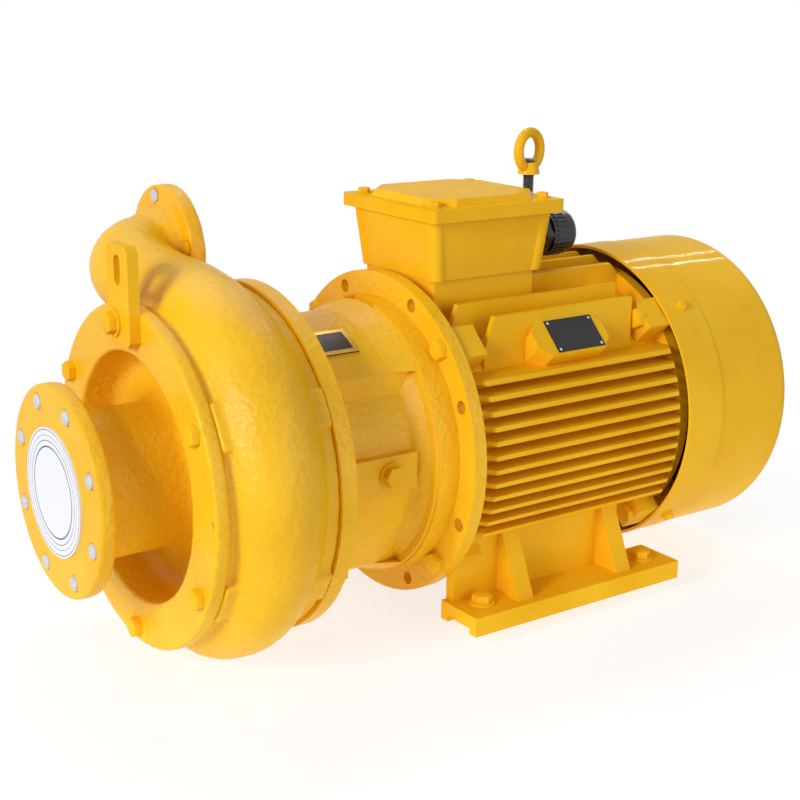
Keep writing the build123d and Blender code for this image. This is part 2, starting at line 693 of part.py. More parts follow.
# Hex plug and washer on the raised pad of the lantern
with BuildPart() as lantern_plug:
    with BuildSketch(Plane.XZ.offset(BOSS_Y)):
        with Locations((boss_x, SHAFT_H)):
            Circle(WASHER_R)
    extrude(amount=WASHER_T)
    plug_spot = [(boss_x, SHAFT_H)]
    hex_bolts(Plane.XZ.offset(BOSS_Y + WASHER_T), plug_spot, BOLT_D, PLUG_L + WASHER_T, BOLT_AF, BOLT_HEAD)
lantern_plug.part.label = "lantern_plug"

# Plain rating plate, bent to the lantern body
with BuildPart() as lantern_plate:
    plate_plane = Plane(
        origin=(x_lantern + LANTERN_FRONT_T + PLATE_INSET, 0, SHAFT_H), x_dir=(1, 0, 0), z_dir=(0, -1, 0)
    ).rotated((90 - PLATE_TILT - PLATE_ARC / 2, 0, 0))
    with BuildSketch(plate_plane):
        with Locations((PLATE_L / 2, LANTERN_BODY_R + FIT_GAP + PLATE_T / 2)):
            Rectangle(PLATE_L, PLATE_T)
    revolve(axis=SHAFT, revolution_arc=PLATE_ARC)
lantern_plate.part.label = "lantern_plate"

# Stationary half of the shaft seal
with BuildPart() as seal_gland:
    turned(
        (x_lantern, SEAL_RING_R + FIT_GAP),
        (x_lantern, GLAND_R),
        (x_lantern + GLAND_FLANGE_T, GLAND_R),
        (x_lantern + GLAND_L, GLAND_R - GLAND_FLANGE_T),
        (x_lantern + GLAND_L, SEAL_RING_R + FIT_GAP),
    )
seal_gland.part.label = "seal_gland"

# Cooling fins: level ones at the sides, upright ones on crown and belly, cut to a round envelope with sloped ends
with BuildPart() as frame_fins:
    with BuildSketch(to_fan(x_frame)):
        with GridLocations(0, FIN_PITCH, 1, FIN_COUNT):
            Rectangle(2 * FIN_R, FIN_T)
        with GridLocations(UPRIGHT_FIN_PITCH, 0, UPRIGHT_FIN_COUNT, 1):
            Rectangle(FIN_T, 2 * FIN_R)
    extrude(amount=FRAME_L)
    with BuildSketch(SHAFT_PLANE):
        with BuildLine():
            Polyline(
                (x_frame, 0),
                (x_frame, FRAME_R),
                (x_frame + FIN_CHAMFER, FIN_R),
                (x_frame_end - FIN_NOTCH, FIN_R),
                (x_frame_end, FIN_R - FIN_NOTCH),
                (x_frame_end, 0),
                close=True,
            )
        make_face()
    revolve(axis=SHAFT, mode=Mode.INTERSECT)

# Tall plates along both shoulders
with BuildPart() as shoulder_plates:
    for side in (-1, 1):
        for k in (0, 1):
            plate_y = side * (SHOULDER_Y + SHOULDER_STEP * k)
            plate_top = SHOULDER_TOP - SHOULDER_FALL * k
            start = x_frame + SHOULDER_START + SHOULDER_LAG * k
            stop = x_frame_end - SHOULDER_STOP
            with BuildSketch(Plane.XZ.offset(-plate_y)):
                with BuildLine():
                    Polyline(
                        (start - SHOULDER_RUN, SHAFT_H),
                        (start - SHOULDER_RUN, SHAFT_H + plate_top - SHOULDER_SLOPE),
                        (start, SHAFT_H + plate_top),
                        (stop, SHAFT_H + plate_top),
                        (stop, SHAFT_H),
                        close=True,
                    )
                make_face()
            extrude(amount=SHOULDER_T / 2, both=True)

# Motor frame: barrel, fins, lugs, feet, box neck and nameplate pad in one casting
pad_plane = outward(PAD_X, PAD_TURN, PAD_R)
pad_plane.origin = pad_plane.origin - pad_plane.y_dir * PAD_DROP
plate_shift = NAMEPLATE_X * pad_plane.x_dir.X
wall_y = FOOT_SPAN_Y / 2 - FOOT_W / 2
wall_top = SHAFT_H - FRAME_R / 2
neck_root = frame_bore_r - BOX_FOOT_W / 5
with BuildPart() as motor_frame:
    with BuildSketch(to_fan(x_frame)):
        Circle(FRAME_R)
    extrude(amount=FRAME_L)
    with BuildSketch(to_fan(x_frame)):
        Circle(DRIVE_RING_R)
    extrude(amount=DRIVE_RING_T)
    add(frame_fins.part)
    add(shoulder_plates.part)
    with BuildSketch(to_fan(x_frame)):
        with PolarLocations((frame_bore_r + LUG_TOP_R) / 2, 4, LUG_TURN):
            Rectangle(LUG_TOP_R - frame_bore_r, LUG_W)
    extrude(amount=LUG_L)
    with BuildSketch(to_suction(x_frame_end)):
        with PolarLocations((frame_bore_r + LUG_TOP_R) / 2, 4, LUG_TURN):
            Rectangle(LUG_TOP_R - frame_bore_r, LUG_W)
    extrude(amount=LUG_L)
    for side in (-1, 1):
        with BuildSketch(Plane.YZ.offset(-FOOT_L / 2)):
            with Locations((side * FOOT_SPAN_Y / 2, FOOT_T / 2)):
                Rectangle(FOOT_W, FOOT_T)
            with Locations((side * FOOT_SPAN_Y / 2, 0)):
                Rectangle(FOOT_W - 2 * FOOT_LIP_W, 2 * FOOT_LIP_H, mode=Mode.SUBTRACT)
        extrude(amount=FOOT_L)
        with BuildSketch(Plane.YZ.offset(x_frame)):
            with Locations((side * (wall_y + FOOT_WALL_T / 2), (FOOT_T + wall_top) / 2)):
                Rectangle(FOOT_WALL_T, wall_top - FOOT_T)
        extrude(amount=FRAME_L - WALL_STOP)
    with BuildSketch(Plane.XY):
        with Locations(*foot_spots):
            Rectangle(FOOT_PAD_L, FOOT_W - FOOT_LIP_W)
    extrude(amount=FOOT_T / 2)
    for x in (-GUSSET_SPAN / 2, GUSSET_SPAN / 2):
        for side in (-1, 1):
            with BuildSketch(Plane.YZ.offset(x - GUSSET_T / 2)):
                with BuildLine():
                    Polyline(
                        (side * wall_y, FOOT_T),
                        (side * (wall_y + GUSSET_REACH), FOOT_T),
                        (side * (wall_y + GUSSET_REACH / 3), FOOT_T + GUSSET_RISE),
                        (side * wall_y, FOOT_T + GUSSET_RISE),
                        close=True,
                    )
                make_face()
            extrude(amount=GUSSET_T)
    with BuildSketch(Plane.XY.offset(NECK_TOP)):
        with Locations((BOX_X - (NECK_SETBACK - NECK_INSET) / 2, 0)):
            Rectangle(BOX_FOOT_L - NECK_INSET - NECK_SETBACK, BOX_FOOT_W - 2 * NECK_INSET)
    extrude(amount=-(NECK_TOP - SHAFT_H - neck_root))
    with BuildSketch(pad_plane) as pad:
        Rectangle(PAD_L, PAD_W)
        chamfer(pad.vertices(), PAD_CORNER)
    extrude(amount=-(PAD_R - frame_bore_r))
    eye_boss_top = SHAFT_H + FRAME_R + EYE_BOSS_H
    with BuildSketch(Plane.XY.offset(eye_boss_top)):
        with Locations((EYE_X, 0)):
            Circle(EYE_BOSS_R)
    extrude(amount=-(EYE_BOSS_H + FRAME_WALL / 2))
    with BuildSketch(to_fan(x_frame)):
        Circle(frame_bore_r)
    extrude(amount=FRAME_L, mode=Mode.SUBTRACT)
    with BuildSketch(Plane.XY.offset(NECK_TOP)):
        with Locations((BOX_X, 0)):
            Rectangle(WIRE_WAY_L, WIRE_WAY_W)
    extrude(amount=-(NECK_TOP - SHAFT_H), mode=Mode.SUBTRACT)
    drilled(Plane.XY.offset(eye_boss_top), [(EYE_X, 0)], EYE_STUD_D + 2 * FIT_GAP, EYE_STUD_GRIP + FIT_GAP)
    drilled(to_suction(x_frame), lug_spots, BOLT_D + 2 * FIT_GAP, LUG_L - BOLT_HEAD)
    drilled(to_fan(x_frame_end), lug_spots, BOLT_D + 2 * FIT_GAP, LUG_L)
    drilled(Plane.XY.offset(FOOT_T), foot_spots, FOOT_HOLE_D, FOOT_T)
motor_frame.part.label = "motor_frame"

with BuildPart() as flange_bolts:
    flange_grip = LANTERN_REAR_T + LUG_L - 2 * BOLT_HEAD
    hex_bolts(to_suction(x_frame - LANTERN_REAR_T), lug_spots, BOLT_D, flange_grip, BOLT_AF, BOLT_HEAD)
flange_bolts.part.label = "flange_bolts"

# Plain nameplate on the shoulder pad
with BuildPart() as motor_nameplate:
    with BuildSketch(pad_plane):
        with Locations((plate_shift, 0)):
            Rectangle(NAMEPLATE_L, NAMEPLATE_W)
    extrude(amount=NAMEPLATE_T)
motor_nameplate.part.label = "motor_nameplate"

# Stator core and the winding heads at both ends
with BuildPart() as stator_core:
    turned(
        (x_stator, STATOR_BORE_R),
        (x_stator, frame_bore_r - FIT_GAP),
        (x_stator_end, frame_bore_r - FIT_GAP),
        (x_stator_end, STATOR_BORE_R),
    )
stator_core.part.label = "stator_core"

with BuildPart() as stator_windings:
    for near, far in ((x_stator, x_stator - WINDING_L), (x_stator_end, x_stator_end + WINDING_L)):
        turned(
            (near, STATOR_BORE_R + RACE_T / 2),
            (near, WINDING_R),
            (far, WINDING_R),
            (far, STATOR_BORE_R + RACE_T / 2),
        )
stator_windings.part.label = "stator_windings"

# Outer rings of both bearings
drive_race_r = DRIVE_BEARING_D / 2 - FIT_GAP - RACE_T
with BuildPart() as drive_bearing_outer:
    turned(
        (x_drive_bearing, drive_race_r),
        (x_drive_bearing, drive_race_r + RACE_T),
        (x_bay, drive_race_r + RACE_T),
        (x_bay, drive_race_r),
    )
drive_bearing_outer.part.label = "drive_bearing_outer"

fan_race_r = FAN_BEARING_D / 2 - FIT_GAP - RACE_T
with BuildPart() as fan_bearing_outer:
    turned(
        (x_fan_bearing, fan_race_r),
        (x_fan_bearing, fan_race_r + RACE_T),
        (x_fan_bearing + FAN_BEARING_B, fan_race_r + RACE_T),
        (x_fan_bearing + FAN_BEARING_B, fan_race_r),
    )
fan_bearing_outer.part.label = "fan_bearing_outer"

# Cover that keeps the drive bearing in the lantern
with BuildPart() as bearing_cover:
    turned(
        (x_bay, DRIVE_BEARING_BORE / 2 + RACE_T),
        (x_bay, DRIVE_BEARING_D / 2 + RACE_T),
        (x_bay + CAP_RING_T, DRIVE_BEARING_D / 2 + RACE_T),
        (x_bay + CAP_RING_T, DRIVE_BEARING_BORE / 2 + RACE_T),
    )
bearing_cover.part.label = "bearing_cover"

# End shield at the fan end, with lugs for the cowl screws
fan_seat_r = FAN_BEARING_BORE / 2
hub_r = FAN_BEARING_D / 2 + SHIELD_T
x_screw = x_cowl + COWL_BAND_L / 2
shield_lug_r = COWL_R - COWL_WALL - SHAFT_CLEAR
with BuildPart() as end_shield:
    turned(
        (x_frame_end - SHIELD_SPIGOT, frame_bore_r - SHIELD_T),
        (x_frame_end - SHIELD_SPIGOT, frame_bore_r - FIT_GAP),
        (x_frame_end, frame_bore_r - FIT_GAP),
        (x_frame_end, SHIELD_R),
        (x_frame_end + SHIELD_T, SHIELD_R),
        (x_frame_end + 2 * SHIELD_T, hub_r),
        (x_hub_end, hub_r),
        (x_hub_end, fan_seat_r + SHAFT_CLEAR),
        (x_fan_bearing + FAN_BEARING_B, fan_seat_r + SHAFT_CLEAR),
        (x_fan_bearing + FAN_BEARING_B, FAN_BEARING_D / 2),
        (x_fan_bearing, FAN_BEARING_D / 2),
        (x_fan_bearing, hub_r),
        (x_frame_end + SHIELD_T / 2, frame_bore_r - SHIELD_T),
    )
    with BuildSketch(to_fan(x_frame_end + COWL_LAP)):
        with PolarLocations((frame_bore_r + shield_lug_r) / 2, 4, LUG_TURN):
            Rectangle(shield_lug_r - frame_bore_r, SHIELD_LUG_W)
    extrude(amount=COWL_BAND_L - 4 * COWL_LAP - SCREW_AF)
    drilled(to_suction(x_frame_end), lug_spots, BOLT_D + 2 * FIT_GAP, COWL_BAND_L)
    for k in range(4):
        drilled(outward(x_screw, LUG_TURN + 90 * k, shield_lug_r), [(0, 0)], SCREW_D + 2 * FIT_GAP, 2 * SCREW_D)
end_shield.part.label = "end_shield"

with BuildPart() as shield_bolts:
    shield_grip = LUG_L + SHIELD_T
    hex_bolts(to_suction(x_frame_end - LUG_L), lug_spots, BOLT_D, shield_grip, BOLT_AF, BOLT_HEAD)
shield_bolts.part.label = "shield_bolts"

# Fan cowl: rolled drum with a seam, a rounded end and a slotted air inlet
cowl_drum_r = COWL_R - COWL_SEAM_STEP
cowl_inner_r = COWL_R - COWL_WALL
with BuildPart() as fan_cowl:
    with BuildSketch(SHAFT_PLANE):
        with BuildLine():
            Polyline(
                (x_cowl_end - COWL_ROUND, cowl_drum_r),
                (x_cowl + COWL_BAND_L, cowl_drum_r),
                (x_cowl + COWL_BAND_L, COWL_R),
                (x_cowl, COWL_R),
                (x_cowl, cowl_inner_r),
                (x_cowl_end - COWL_ROUND, cowl_inner_r),
                (x_cowl_end - COWL_WALL, cowl_inner_r - COWL_ROUND + COWL_WALL),
                (x_cowl_end - COWL_WALL, 0),
                (x_cowl_end, 0),
                (x_cowl_end, cowl_drum_r - COWL_ROUND),
            )
            RadiusArc(
                (x_cowl_end, cowl_drum_r - COWL_ROUND), (x_cowl_end - COWL_ROUND, cowl_drum_r), -COWL_ROUND
            )
        make_face()
    revolve(axis=SHAFT)
    with BuildSketch(to_fan(x_cowl_end)):
        with PolarLocations(COWL_SLOT_R, COWL_SLOT_COUNT):
            Rectangle(COWL_SLOT_L, COWL_SLOT_W)
    extrude(amount=-2 * COWL_WALL, mode=Mode.SUBTRACT)
    for k in range(4):
        drilled(outward(x_screw, LUG_TURN + 90 * k, COWL_R), [(0, 0)], SCREW_D + 2 * FIT_GAP, 2 * COWL_WALL)
fan_cowl.part.label = "fan_cowl"

with BuildPart() as cowl_screws:
    for k in range(4):
        screw_grip = COWL_WALL + SHAFT_CLEAR + SCREW_D
        seat = outward(x_screw, LUG_TURN + 90 * k, COWL_R)
        hex_bolts(seat, [(0, 0)], SCREW_D, screw_grip, SCREW_AF, SCREW_HEAD)
cowl_screws.part.label = "cowl_screws"

# Terminal box: tapered open box with a floor, corner columns and a boss for the gland
gland_face_x = BOX_X + BOX_TOP_L / 2 + GLAND_BOSS_H
with BuildPart() as terminal_box:
    with BuildSketch(Plane.XY.offset(NECK_TOP)):
        with Locations((BOX_X, 0)):
            RectangleRounded(BOX_FOOT_L, BOX_FOOT_W, BOX_CORNER)
    with BuildSketch(Plane.XY.offset(box_top_z)):
        with Locations((BOX_X, 0)):
            RectangleRounded(BOX_TOP_L, BOX_TOP_W, BOX_CORNER)
    loft()
    with BuildSketch(Plane(origin=(gland_face_x, GLAND_Y, GLAND_Z), x_dir=(0, 1, 0), z_dir=(1, 0, 0))):
        Circle(GLAND_BOSS_R - BOX_WALL)
    extrude(amount=-(BOX_CORNER + GLAND_BOSS_H))
    with BuildSketch(Plane.XY.offset(NECK_TOP + BOX_FLOOR)):
        with Locations((BOX_X, 0)):
            RectangleRounded(BOX_FOOT_L - 2 * BOX_WALL, BOX_FOOT_W - 2 * BOX_WALL, BOX_CORNER)
    with BuildSketch(Plane.XY.offset(box_top_z)):
        with Locations((BOX_X, 0)):
            RectangleRounded(BOX_TOP_L - 2 * BOX_WALL, BOX_TOP_W - 2 * BOX_WALL, BOX_CORNER)
    loft(mode=Mode.SUBTRACT)
    for sx in (-1, 1):
        for sy in (-1, 1):
            foot_corner = (BOX_X + sx * (BOX_FOOT_L / 2 - column_inset), sy * (BOX_FOOT_W / 2 - column_inset))
            top_corner = (BOX_X + sx * (BOX_TOP_L / 2 - column_inset), sy * (BOX_TOP_W / 2 - column_inset))
            with BuildSketch(Plane.XY.offset(NECK_TOP)):
                with Locations(foot_corner):
                    Circle(COLUMN_R)
            with BuildSketch(Plane.XY.offset(box_top_z)):
                with Locations(top_corner):
                    Circle(COLUMN_R)
            loft()
    with BuildSketch(Plane.XY.offset(NECK_TOP)):
        with Locations((BOX_X, 0)):
            Rectangle(WIRE_WAY_L, WIRE_WAY_W)
    extrude(amount=BOX_FLOOR, mode=Mode.SUBTRACT)
    gland_plane = Plane(origin=(gland_face_x, GLAND_Y, GLAND_Z), x_dir=(0, 1, 0), z_dir=(1, 0, 0))
    drilled(gland_plane, [(0, 0)], 2 * (GLAND_THREAD_R + FIT_GAP), BOX_CORNER + BOX_WALL + GLAND_BOSS_H)
    drilled(Plane.XY.offset(box_top_z), lid_spots, LID_BOLT_D + 2 * FIT_GAP, BOX_H / 4)
terminal_box.part.label = "terminal_box"

with BuildPart() as terminal_gasket:
    with BuildSketch(Plane.XY.offset(box_top_z)):
        with Locations((BOX_X, 0)):
            RectangleRounded(BOX_TOP_L, BOX_TOP_W, BOX_CORNER)
            RectangleRounded(
                BOX_TOP_L - 2 * GASKET_W, BOX_TOP_W - 2 * GASKET_W, BOX_CORNER, mode=Mode.SUBTRACT
            )
        with Locations(*lid_spots):
            Circle(LID_BOLT_D / 2 + FIT_GAP, mode=Mode.SUBTRACT)
    extrude(amount=GASKET_T)
terminal_gasket.part.label = "terminal_gasket"

# Lid with a raised panel, bevelled all round and cut at the corners
with BuildPart() as terminal_lid:
    with BuildSketch(Plane.XY.offset(lid_z)):
        with Locations((BOX_X, 0)):
            RectangleRounded(LID_L, LID_W, BOX_CORNER / 2)
    extrude(amount=LID_T)
    for share in (0, 1):
        inset = LID_PANEL_INSET + LID_PANEL_SLOPE * share
        with BuildSketch(Plane.XY.offset(lid_z + LID_T + LID_PANEL_H * share)) as panel:
            with Locations((BOX_X, 0)):
                Rectangle(LID_L - inset, LID_W - inset)
            chamfer(panel.vertices(), LID_PANEL_CUT)
    loft()
    drilled(Plane.XY.offset(lid_z + LID_T), lid_spots, LID_BOLT_D + 2 * FIT_GAP, LID_T)
terminal_lid.part.label = "terminal_lid"

with BuildPart() as lid_bolts:
    lid_grip = LID_T + GASKET_T + 2 * LID_BOLT_D
    hex_bolts(Plane.XY.offset(lid_z + LID_T), lid_spots, LID_BOLT_D, lid_grip, LID_BOLT_AF, LID_BOLT_HEAD)
lid_bolts.part.label = "lid_bolts"

# Terminal board on the box floor, with its six studs
board_spot = (BOX_X - BOARD_X + BOARD_L / 2, 0)
board_z = NECK_TOP + BOX_FLOOR
with BuildPart() as terminal_board:
    with BuildSketch(Plane.XY.offset(board_z)):
        with Locations(board_spot):
            RectangleRounded(BOARD_L, BOARD_W, BOX_WALL)
    extrude(amount=BOARD_H)
terminal_board.part.label = "terminal_board"

with BuildPart() as terminal_studs:
    with BuildSketch(Plane.XY.offset(board_z + BOARD_H)):
        with Locations(board_spot):
            with GridLocations(STUD_PITCH_X, STUD_PITCH_Y, 2, 3):
                Circle(STUD_D / 2)
    extrude(amount=STUD_H)
terminal_studs.part.label = "terminal_studs"

# Cable gland: thread, hex and domed nut, closed by a blank
with BuildPart() as cable_gland:
    with BuildSketch(gland_plane):
        Circle(GLAND_THREAD_R)
    extrude(amount=-(BOX_CORNER + BOX_WALL / 2))
    with BuildSketch(gland_plane):
        RegularPolygon(GLAND_HEX_AF / 2, 6, major_radius=False)
    extrude(amount=GLAND_HEX_L)
    with BuildSketch(gland_plane.offset(GLAND_HEX_L)):
        Circle(GLAND_DOME_R)
    extrude(amount=GLAND_DOME_L)
    fillet(cable_gland.edges().filter_by(GeomType.CIRCLE).group_by(Axis.X)[-1], GLAND_DOME_R / 3)
cable_gland.part.label = "cable_gland"

# Lifting eye nut on its stud
with BuildPart() as eye_stud:
    with BuildSketch(Plane.XY.offset(eye_boss_top - EYE_STUD_GRIP)):
        with Locations((EYE_X, 0)):
            Circle(EYE_STUD_D / 2)
    extrude(amount=EYE_STUD_TOP - eye_boss_top + EYE_STUD_GRIP)
eye_stud.part.label = "eye_stud"

eye_plane = Plane(
    origin=(EYE_X, 0, EYE_Z), x_dir=(cos(radians(EYE_TURN)), sin(radians(EYE_TURN)), 0), z_dir=(0, 0, 1)
)
with BuildPart() as eye_nut:
    with BuildSketch(eye_plane):
        with Locations((EYE_RING_R, 0)):
            Circle(EYE_WIRE_R)
    revolve(axis=Axis(eye_plane.origin, eye_plane.y_dir))
    with BuildSketch(Plane.XY.offset(EYE_COLLAR_Z)):
        with Locations((EYE_X, 0)):
            Circle(EYE_COLLAR_R)
    extrude(amount=EYE_COLLAR_H, taper=EYE_COLLAR_TAPER)
    drilled(Plane.XY.offset(EYE_Z), [(EYE_X, 0)], EYE_STUD_D + 2 * FIT_GAP, EYE_Z - EYE_COLLAR_Z)
eye_nut.part.label = "eye_nut"

# Shaft, stepped for the impeller, the sleeve, both bearings and the fan
drive_seat_r = DRIVE_BEARING_BORE / 2
with BuildPart() as pump_shaft:
    turned(
        (x_impeller + 2 * SHROUD_T, 0),
        (x_impeller + 2 * SHROUD_T, IMPELLER_SEAT_R),
        (x_impeller_end, IMPELLER_SEAT_R),
        (x_impeller_end, SLEEVE_SEAT_R),
        (x_drive_bearing - LANTERN_WEB_T, SLEEVE_SEAT_R),
        (x_drive_bearing - LANTERN_WEB_T, drive_seat_r - FIT_GAP),
        (x_bay, drive_seat_r - FIT_GAP),
        (x_bay, drive_seat_r + RACE_T / 2),
        (x_stator - WINDING_L, drive_seat_r + RACE_T / 2),
        (x_stator - WINDING_L, ROTOR_SHAFT_R),
        (x_stator_end + WINDING_L, ROTOR_SHAFT_R),
        (x_stator_end + WINDING_L, fan_seat_r + RACE_T / 2),
        (x_fan_bearing, fan_seat_r + RACE_T / 2),
        (x_fan_bearing, fan_seat_r - FIT_GAP),
        (x_hub_end + FAN_GAP / 2, fan_seat_r - FIT_GAP),
        (x_hub_end + FAN_GAP / 2, FAN_BORE_R),
        (x_fan + FAN_L, FAN_BORE_R),
        (x_fan + FAN_L, 0),
    )
pump_shaft.part.label = "pump_shaft"

# Closed impeller with swept vanes
vane_tip_r = IMPELLER_R - VANE_T / 2
x_front_shroud = x_impeller + SHROUD_T
x_back_shroud = x_impeller_end - SHROUD_T
with BuildPart() as impeller:
    turned(
        (x_impeller, IMPELLER_EYE_R),
        (x_impeller, IMPELLER_R),
        (x_front_shroud, IMPELLER_R),
        (x_front_shroud, IMPELLER_EYE_R),
    )
    turned(
        (x_back_shroud, 0),
        (x_back_shroud, IMPELLER_R),
        (x_impeller_end, IMPELLER_R),
        (x_impeller_end, 0),
    )
    turned(
        (x_impeller + SHROUD_T, 0),
        (x_impeller + SHROUD_T, IMPELLER_SEAT_R + RACE_T / 2),
        (x_back_shroud, IMPELLER_HUB_R),
        (x_impeller_end, IMPELLER_HUB_R),
        (x_impeller_end, 0),
    )
    with BuildSketch(to_fan(x_front_shroud)):
        vane_roots = on_circle(IMPELLER_HUB_R, VANES, 0)
        vane_tips = on_circle(vane_tip_r, VANES, VANE_SWEEP)
        for root, tip in zip(vane_roots, vane_tips):
            with BuildLine():
                RadiusArc(root, tip, VANE_BOW)
            trace(line_width=VANE_T)
    extrude(amount=x_back_shroud - x_front_shroud)
    with BuildSketch(to_fan(x_impeller_end)):
        Circle(IMPELLER_SEAT_R + RUN_GAP)
    extrude(amount=-(x_impeller_end - x_impeller - 2 * SHROUD_T), mode=Mode.SUBTRACT)
impeller.part.label = "impeller"

with BuildPart() as shaft_sleeve:
    turned(
        (x_impeller_end, SLEEVE_SEAT_R + RUN_GAP),
        (x_impeller_end, SLEEVE_R),
        (x_impeller_end + SLEEVE_L, SLEEVE_R),
        (x_impeller_end + SLEEVE_L, SLEEVE_SEAT_R + RUN_GAP),
    )
shaft_sleeve.part.label = "shaft_sleeve"

with BuildPart() as seal_ring:
    turned(
        (x_lantern, SLEEVE_R + RUN_GAP),
        (x_lantern, SEAL_RING_R),
        (x_lantern + SEAL_RING_L, SEAL_RING_R),
        (x_lantern + SEAL_RING_L, SLEEVE_R + RUN_GAP),
    )
seal_ring.part.label = "seal_ring"

# Inner rings of both bearings
with BuildPart() as drive_bearing_inner:
    turned(
        (x_drive_bearing, drive_seat_r),
        (x_drive_bearing, drive_race_r - RUN_GAP),
        (x_bay, drive_race_r - RUN_GAP),
        (x_bay, drive_seat_r),
    )
drive_bearing_inner.part.label = "drive_bearing_inner"

with BuildPart() as fan_bearing_inner:
    turned(
        (x_fan_bearing, fan_seat_r),
        (x_fan_bearing, fan_race_r - RUN_GAP),
        (x_fan_bearing + FAN_BEARING_B, fan_race_r - RUN_GAP),
        (x_fan_bearing + FAN_BEARING_B, fan_seat_r),
    )
fan_bearing_inner.part.label = "fan_bearing_inner"

# Rotor core with its short-circuit rings
with BuildPart() as rotor_core:
    turned(
        (x_stator - ROTOR_RING_L, ROTOR_SHAFT_R + RUN_GAP),
        (x_stator - ROTOR_RING_L, ROTOR_RING_R),
        (x_stator, ROTOR_RING_R),
        (x_stator, STATOR_BORE_R - AIR_GAP),
        (x_stator_end, STATOR_BORE_R - AIR_GAP),
        (x_stator_end, ROTOR_RING_R),
        (x_stator_end + ROTOR_RING_L, ROTOR_RING_R),
        (x_stator_end + ROTOR_RING_L, ROTOR_SHAFT_R + RUN_GAP),
    )
rotor_core.part.label = "rotor_core"

# Cooling fan with straight blades
with BuildPart() as cooling_fan:
    turned(
        (x_fan, FAN_BORE_R + RUN_GAP),
        (x_fan, FAN_R),
        (x_fan + FAN_DISC_T, FAN_R),
        (x_fan + FAN_DISC_T, FAN_HUB_R),
        (x_fan + FAN_L, FAN_HUB_R),
        (x_fan + FAN_L, FAN_BORE_R + RUN_GAP),
    )
    with BuildSketch(to_fan(x_fan + FAN_DISC_T)):
        with PolarLocations((FAN_HUB_R + FAN_R) / 2 - FAN_BLADE_T, FAN_BLADES):
            Rectangle(FAN_R - FAN_HUB_R, FAN_BLADE_T)
    extrude(amount=FAN_L - FAN_DISC_T)
cooling_fan.part.label = "cooling_fan"

os.makedirs("parts", exist_ok=True)
pieces = [
    suction_cover, throat_liner, suction_cap, volute_casing, back_plate, lifting_bar, cover_bolts,
    lantern_bracket, lantern_bolts, lantern_plug, lantern_plate, seal_gland,
    motor_frame, flange_bolts, motor_nameplate, stator_core, stator_windings,
    drive_bearing_outer, fan_bearing_outer, bearing_cover, end_shield, shield_bolts, fan_cowl, cowl_screws,
    terminal_box, terminal_gasket, terminal_lid, lid_bolts, terminal_board, terminal_studs, cable_gland,
    eye_stud, eye_nut,
    pump_shaft, impeller, shaft_sleeve, seal_ring, drive_bearing_inner, fan_bearing_inner, rotor_core,
    cooling_fan,
]
for piece in pieces:
    export_step(piece.part, f"parts/{piece.part.label}.step")
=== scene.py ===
"""Looks of a close-coupled slurry pump: enamel on castings and sheet, plates, plugs, bolts and detail."""

from math import atan2, cos, hypot, pi, radians, sin, sqrt

import bmesh
import bpy
from mathutils import Matrix, Vector, noise


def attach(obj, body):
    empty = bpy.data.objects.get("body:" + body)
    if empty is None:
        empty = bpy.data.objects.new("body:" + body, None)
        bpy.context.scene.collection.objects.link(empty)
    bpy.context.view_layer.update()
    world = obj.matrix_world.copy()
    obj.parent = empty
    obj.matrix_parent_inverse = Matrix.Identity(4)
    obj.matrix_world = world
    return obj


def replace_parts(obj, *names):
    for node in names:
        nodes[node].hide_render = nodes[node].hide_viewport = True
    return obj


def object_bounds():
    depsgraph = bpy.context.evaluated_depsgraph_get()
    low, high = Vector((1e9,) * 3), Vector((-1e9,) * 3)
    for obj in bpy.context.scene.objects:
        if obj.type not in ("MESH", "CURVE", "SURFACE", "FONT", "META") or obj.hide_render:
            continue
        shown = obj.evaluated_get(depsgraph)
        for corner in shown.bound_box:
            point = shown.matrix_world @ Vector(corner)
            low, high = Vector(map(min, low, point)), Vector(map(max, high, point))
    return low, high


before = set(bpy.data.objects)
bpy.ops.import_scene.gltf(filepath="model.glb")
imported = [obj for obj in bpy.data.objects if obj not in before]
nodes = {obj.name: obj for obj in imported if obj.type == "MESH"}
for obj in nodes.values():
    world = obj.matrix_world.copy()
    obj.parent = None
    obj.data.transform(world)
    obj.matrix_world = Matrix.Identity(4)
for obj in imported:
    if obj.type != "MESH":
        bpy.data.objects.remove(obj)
cad_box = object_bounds()

MM = 0.001

# Places and sizes of the pump that the added pieces sit on, in metres
SHAFT_Z = 0.225
X_SUCTION = -0.651
X_COVER = -0.552
X_LANTERN = -0.392
X_FRAME = -0.174
X_FRAME_END = 0.186
X_COWL_SCREW = 0.2165
X_DISCHARGE, Y_DISCHARGE, Z_DISCHARGE = -0.369, 0.228675, 0.454191
FOOT_X, FOOT_Y, FOOT_T = 0.143, 0.178, 0.026
LID_BOLT_X, LID_BOLT_Y, LID_TOP = (-0.1595, 0.0195), 0.080, 0.536
LANTERN_FRONT_T, LANTERN_REAR_T, LUG_L = 0.021, 0.018, 0.038
BAR_T = 0.014
CAP_R = 0.080

# Bolt circles: radius, number of holes, and angle of the first one in degrees
SUCTION_HOLES = (0.110, 8, 22.5)
COVER_HOLES = (0.196, 6, 30)
LANTERN_HOLES = (0.206, 6, 30)
LUG_HOLES = (0.2025, 4, 45)
COWL_HOLES = (0.219, 4, 45)
DISCHARGE_BOLT_R = 0.076

# Bolts: across flats, head height and shank diameter
FLANGE_BOLT = (0.024, 0.010, 0.016)
LID_BOLT = (0.014, 0.006, 0.008)
COWL_SCREW = (0.013, 0.006, 0.008)
FLANGE_WASHER_T, LID_WASHER_T, COWL_WASHER_T = 0.003, 0.0016, 0.0014

# Enamel patterns: orange peel and slow change of tint, and the two tints
PEEL_MM, CLOUD_MM = 3.0, 120.0
DEEP_YELLOW, PALE_YELLOW = "#F0B516", "#F8C122"


# Colour and material helpers

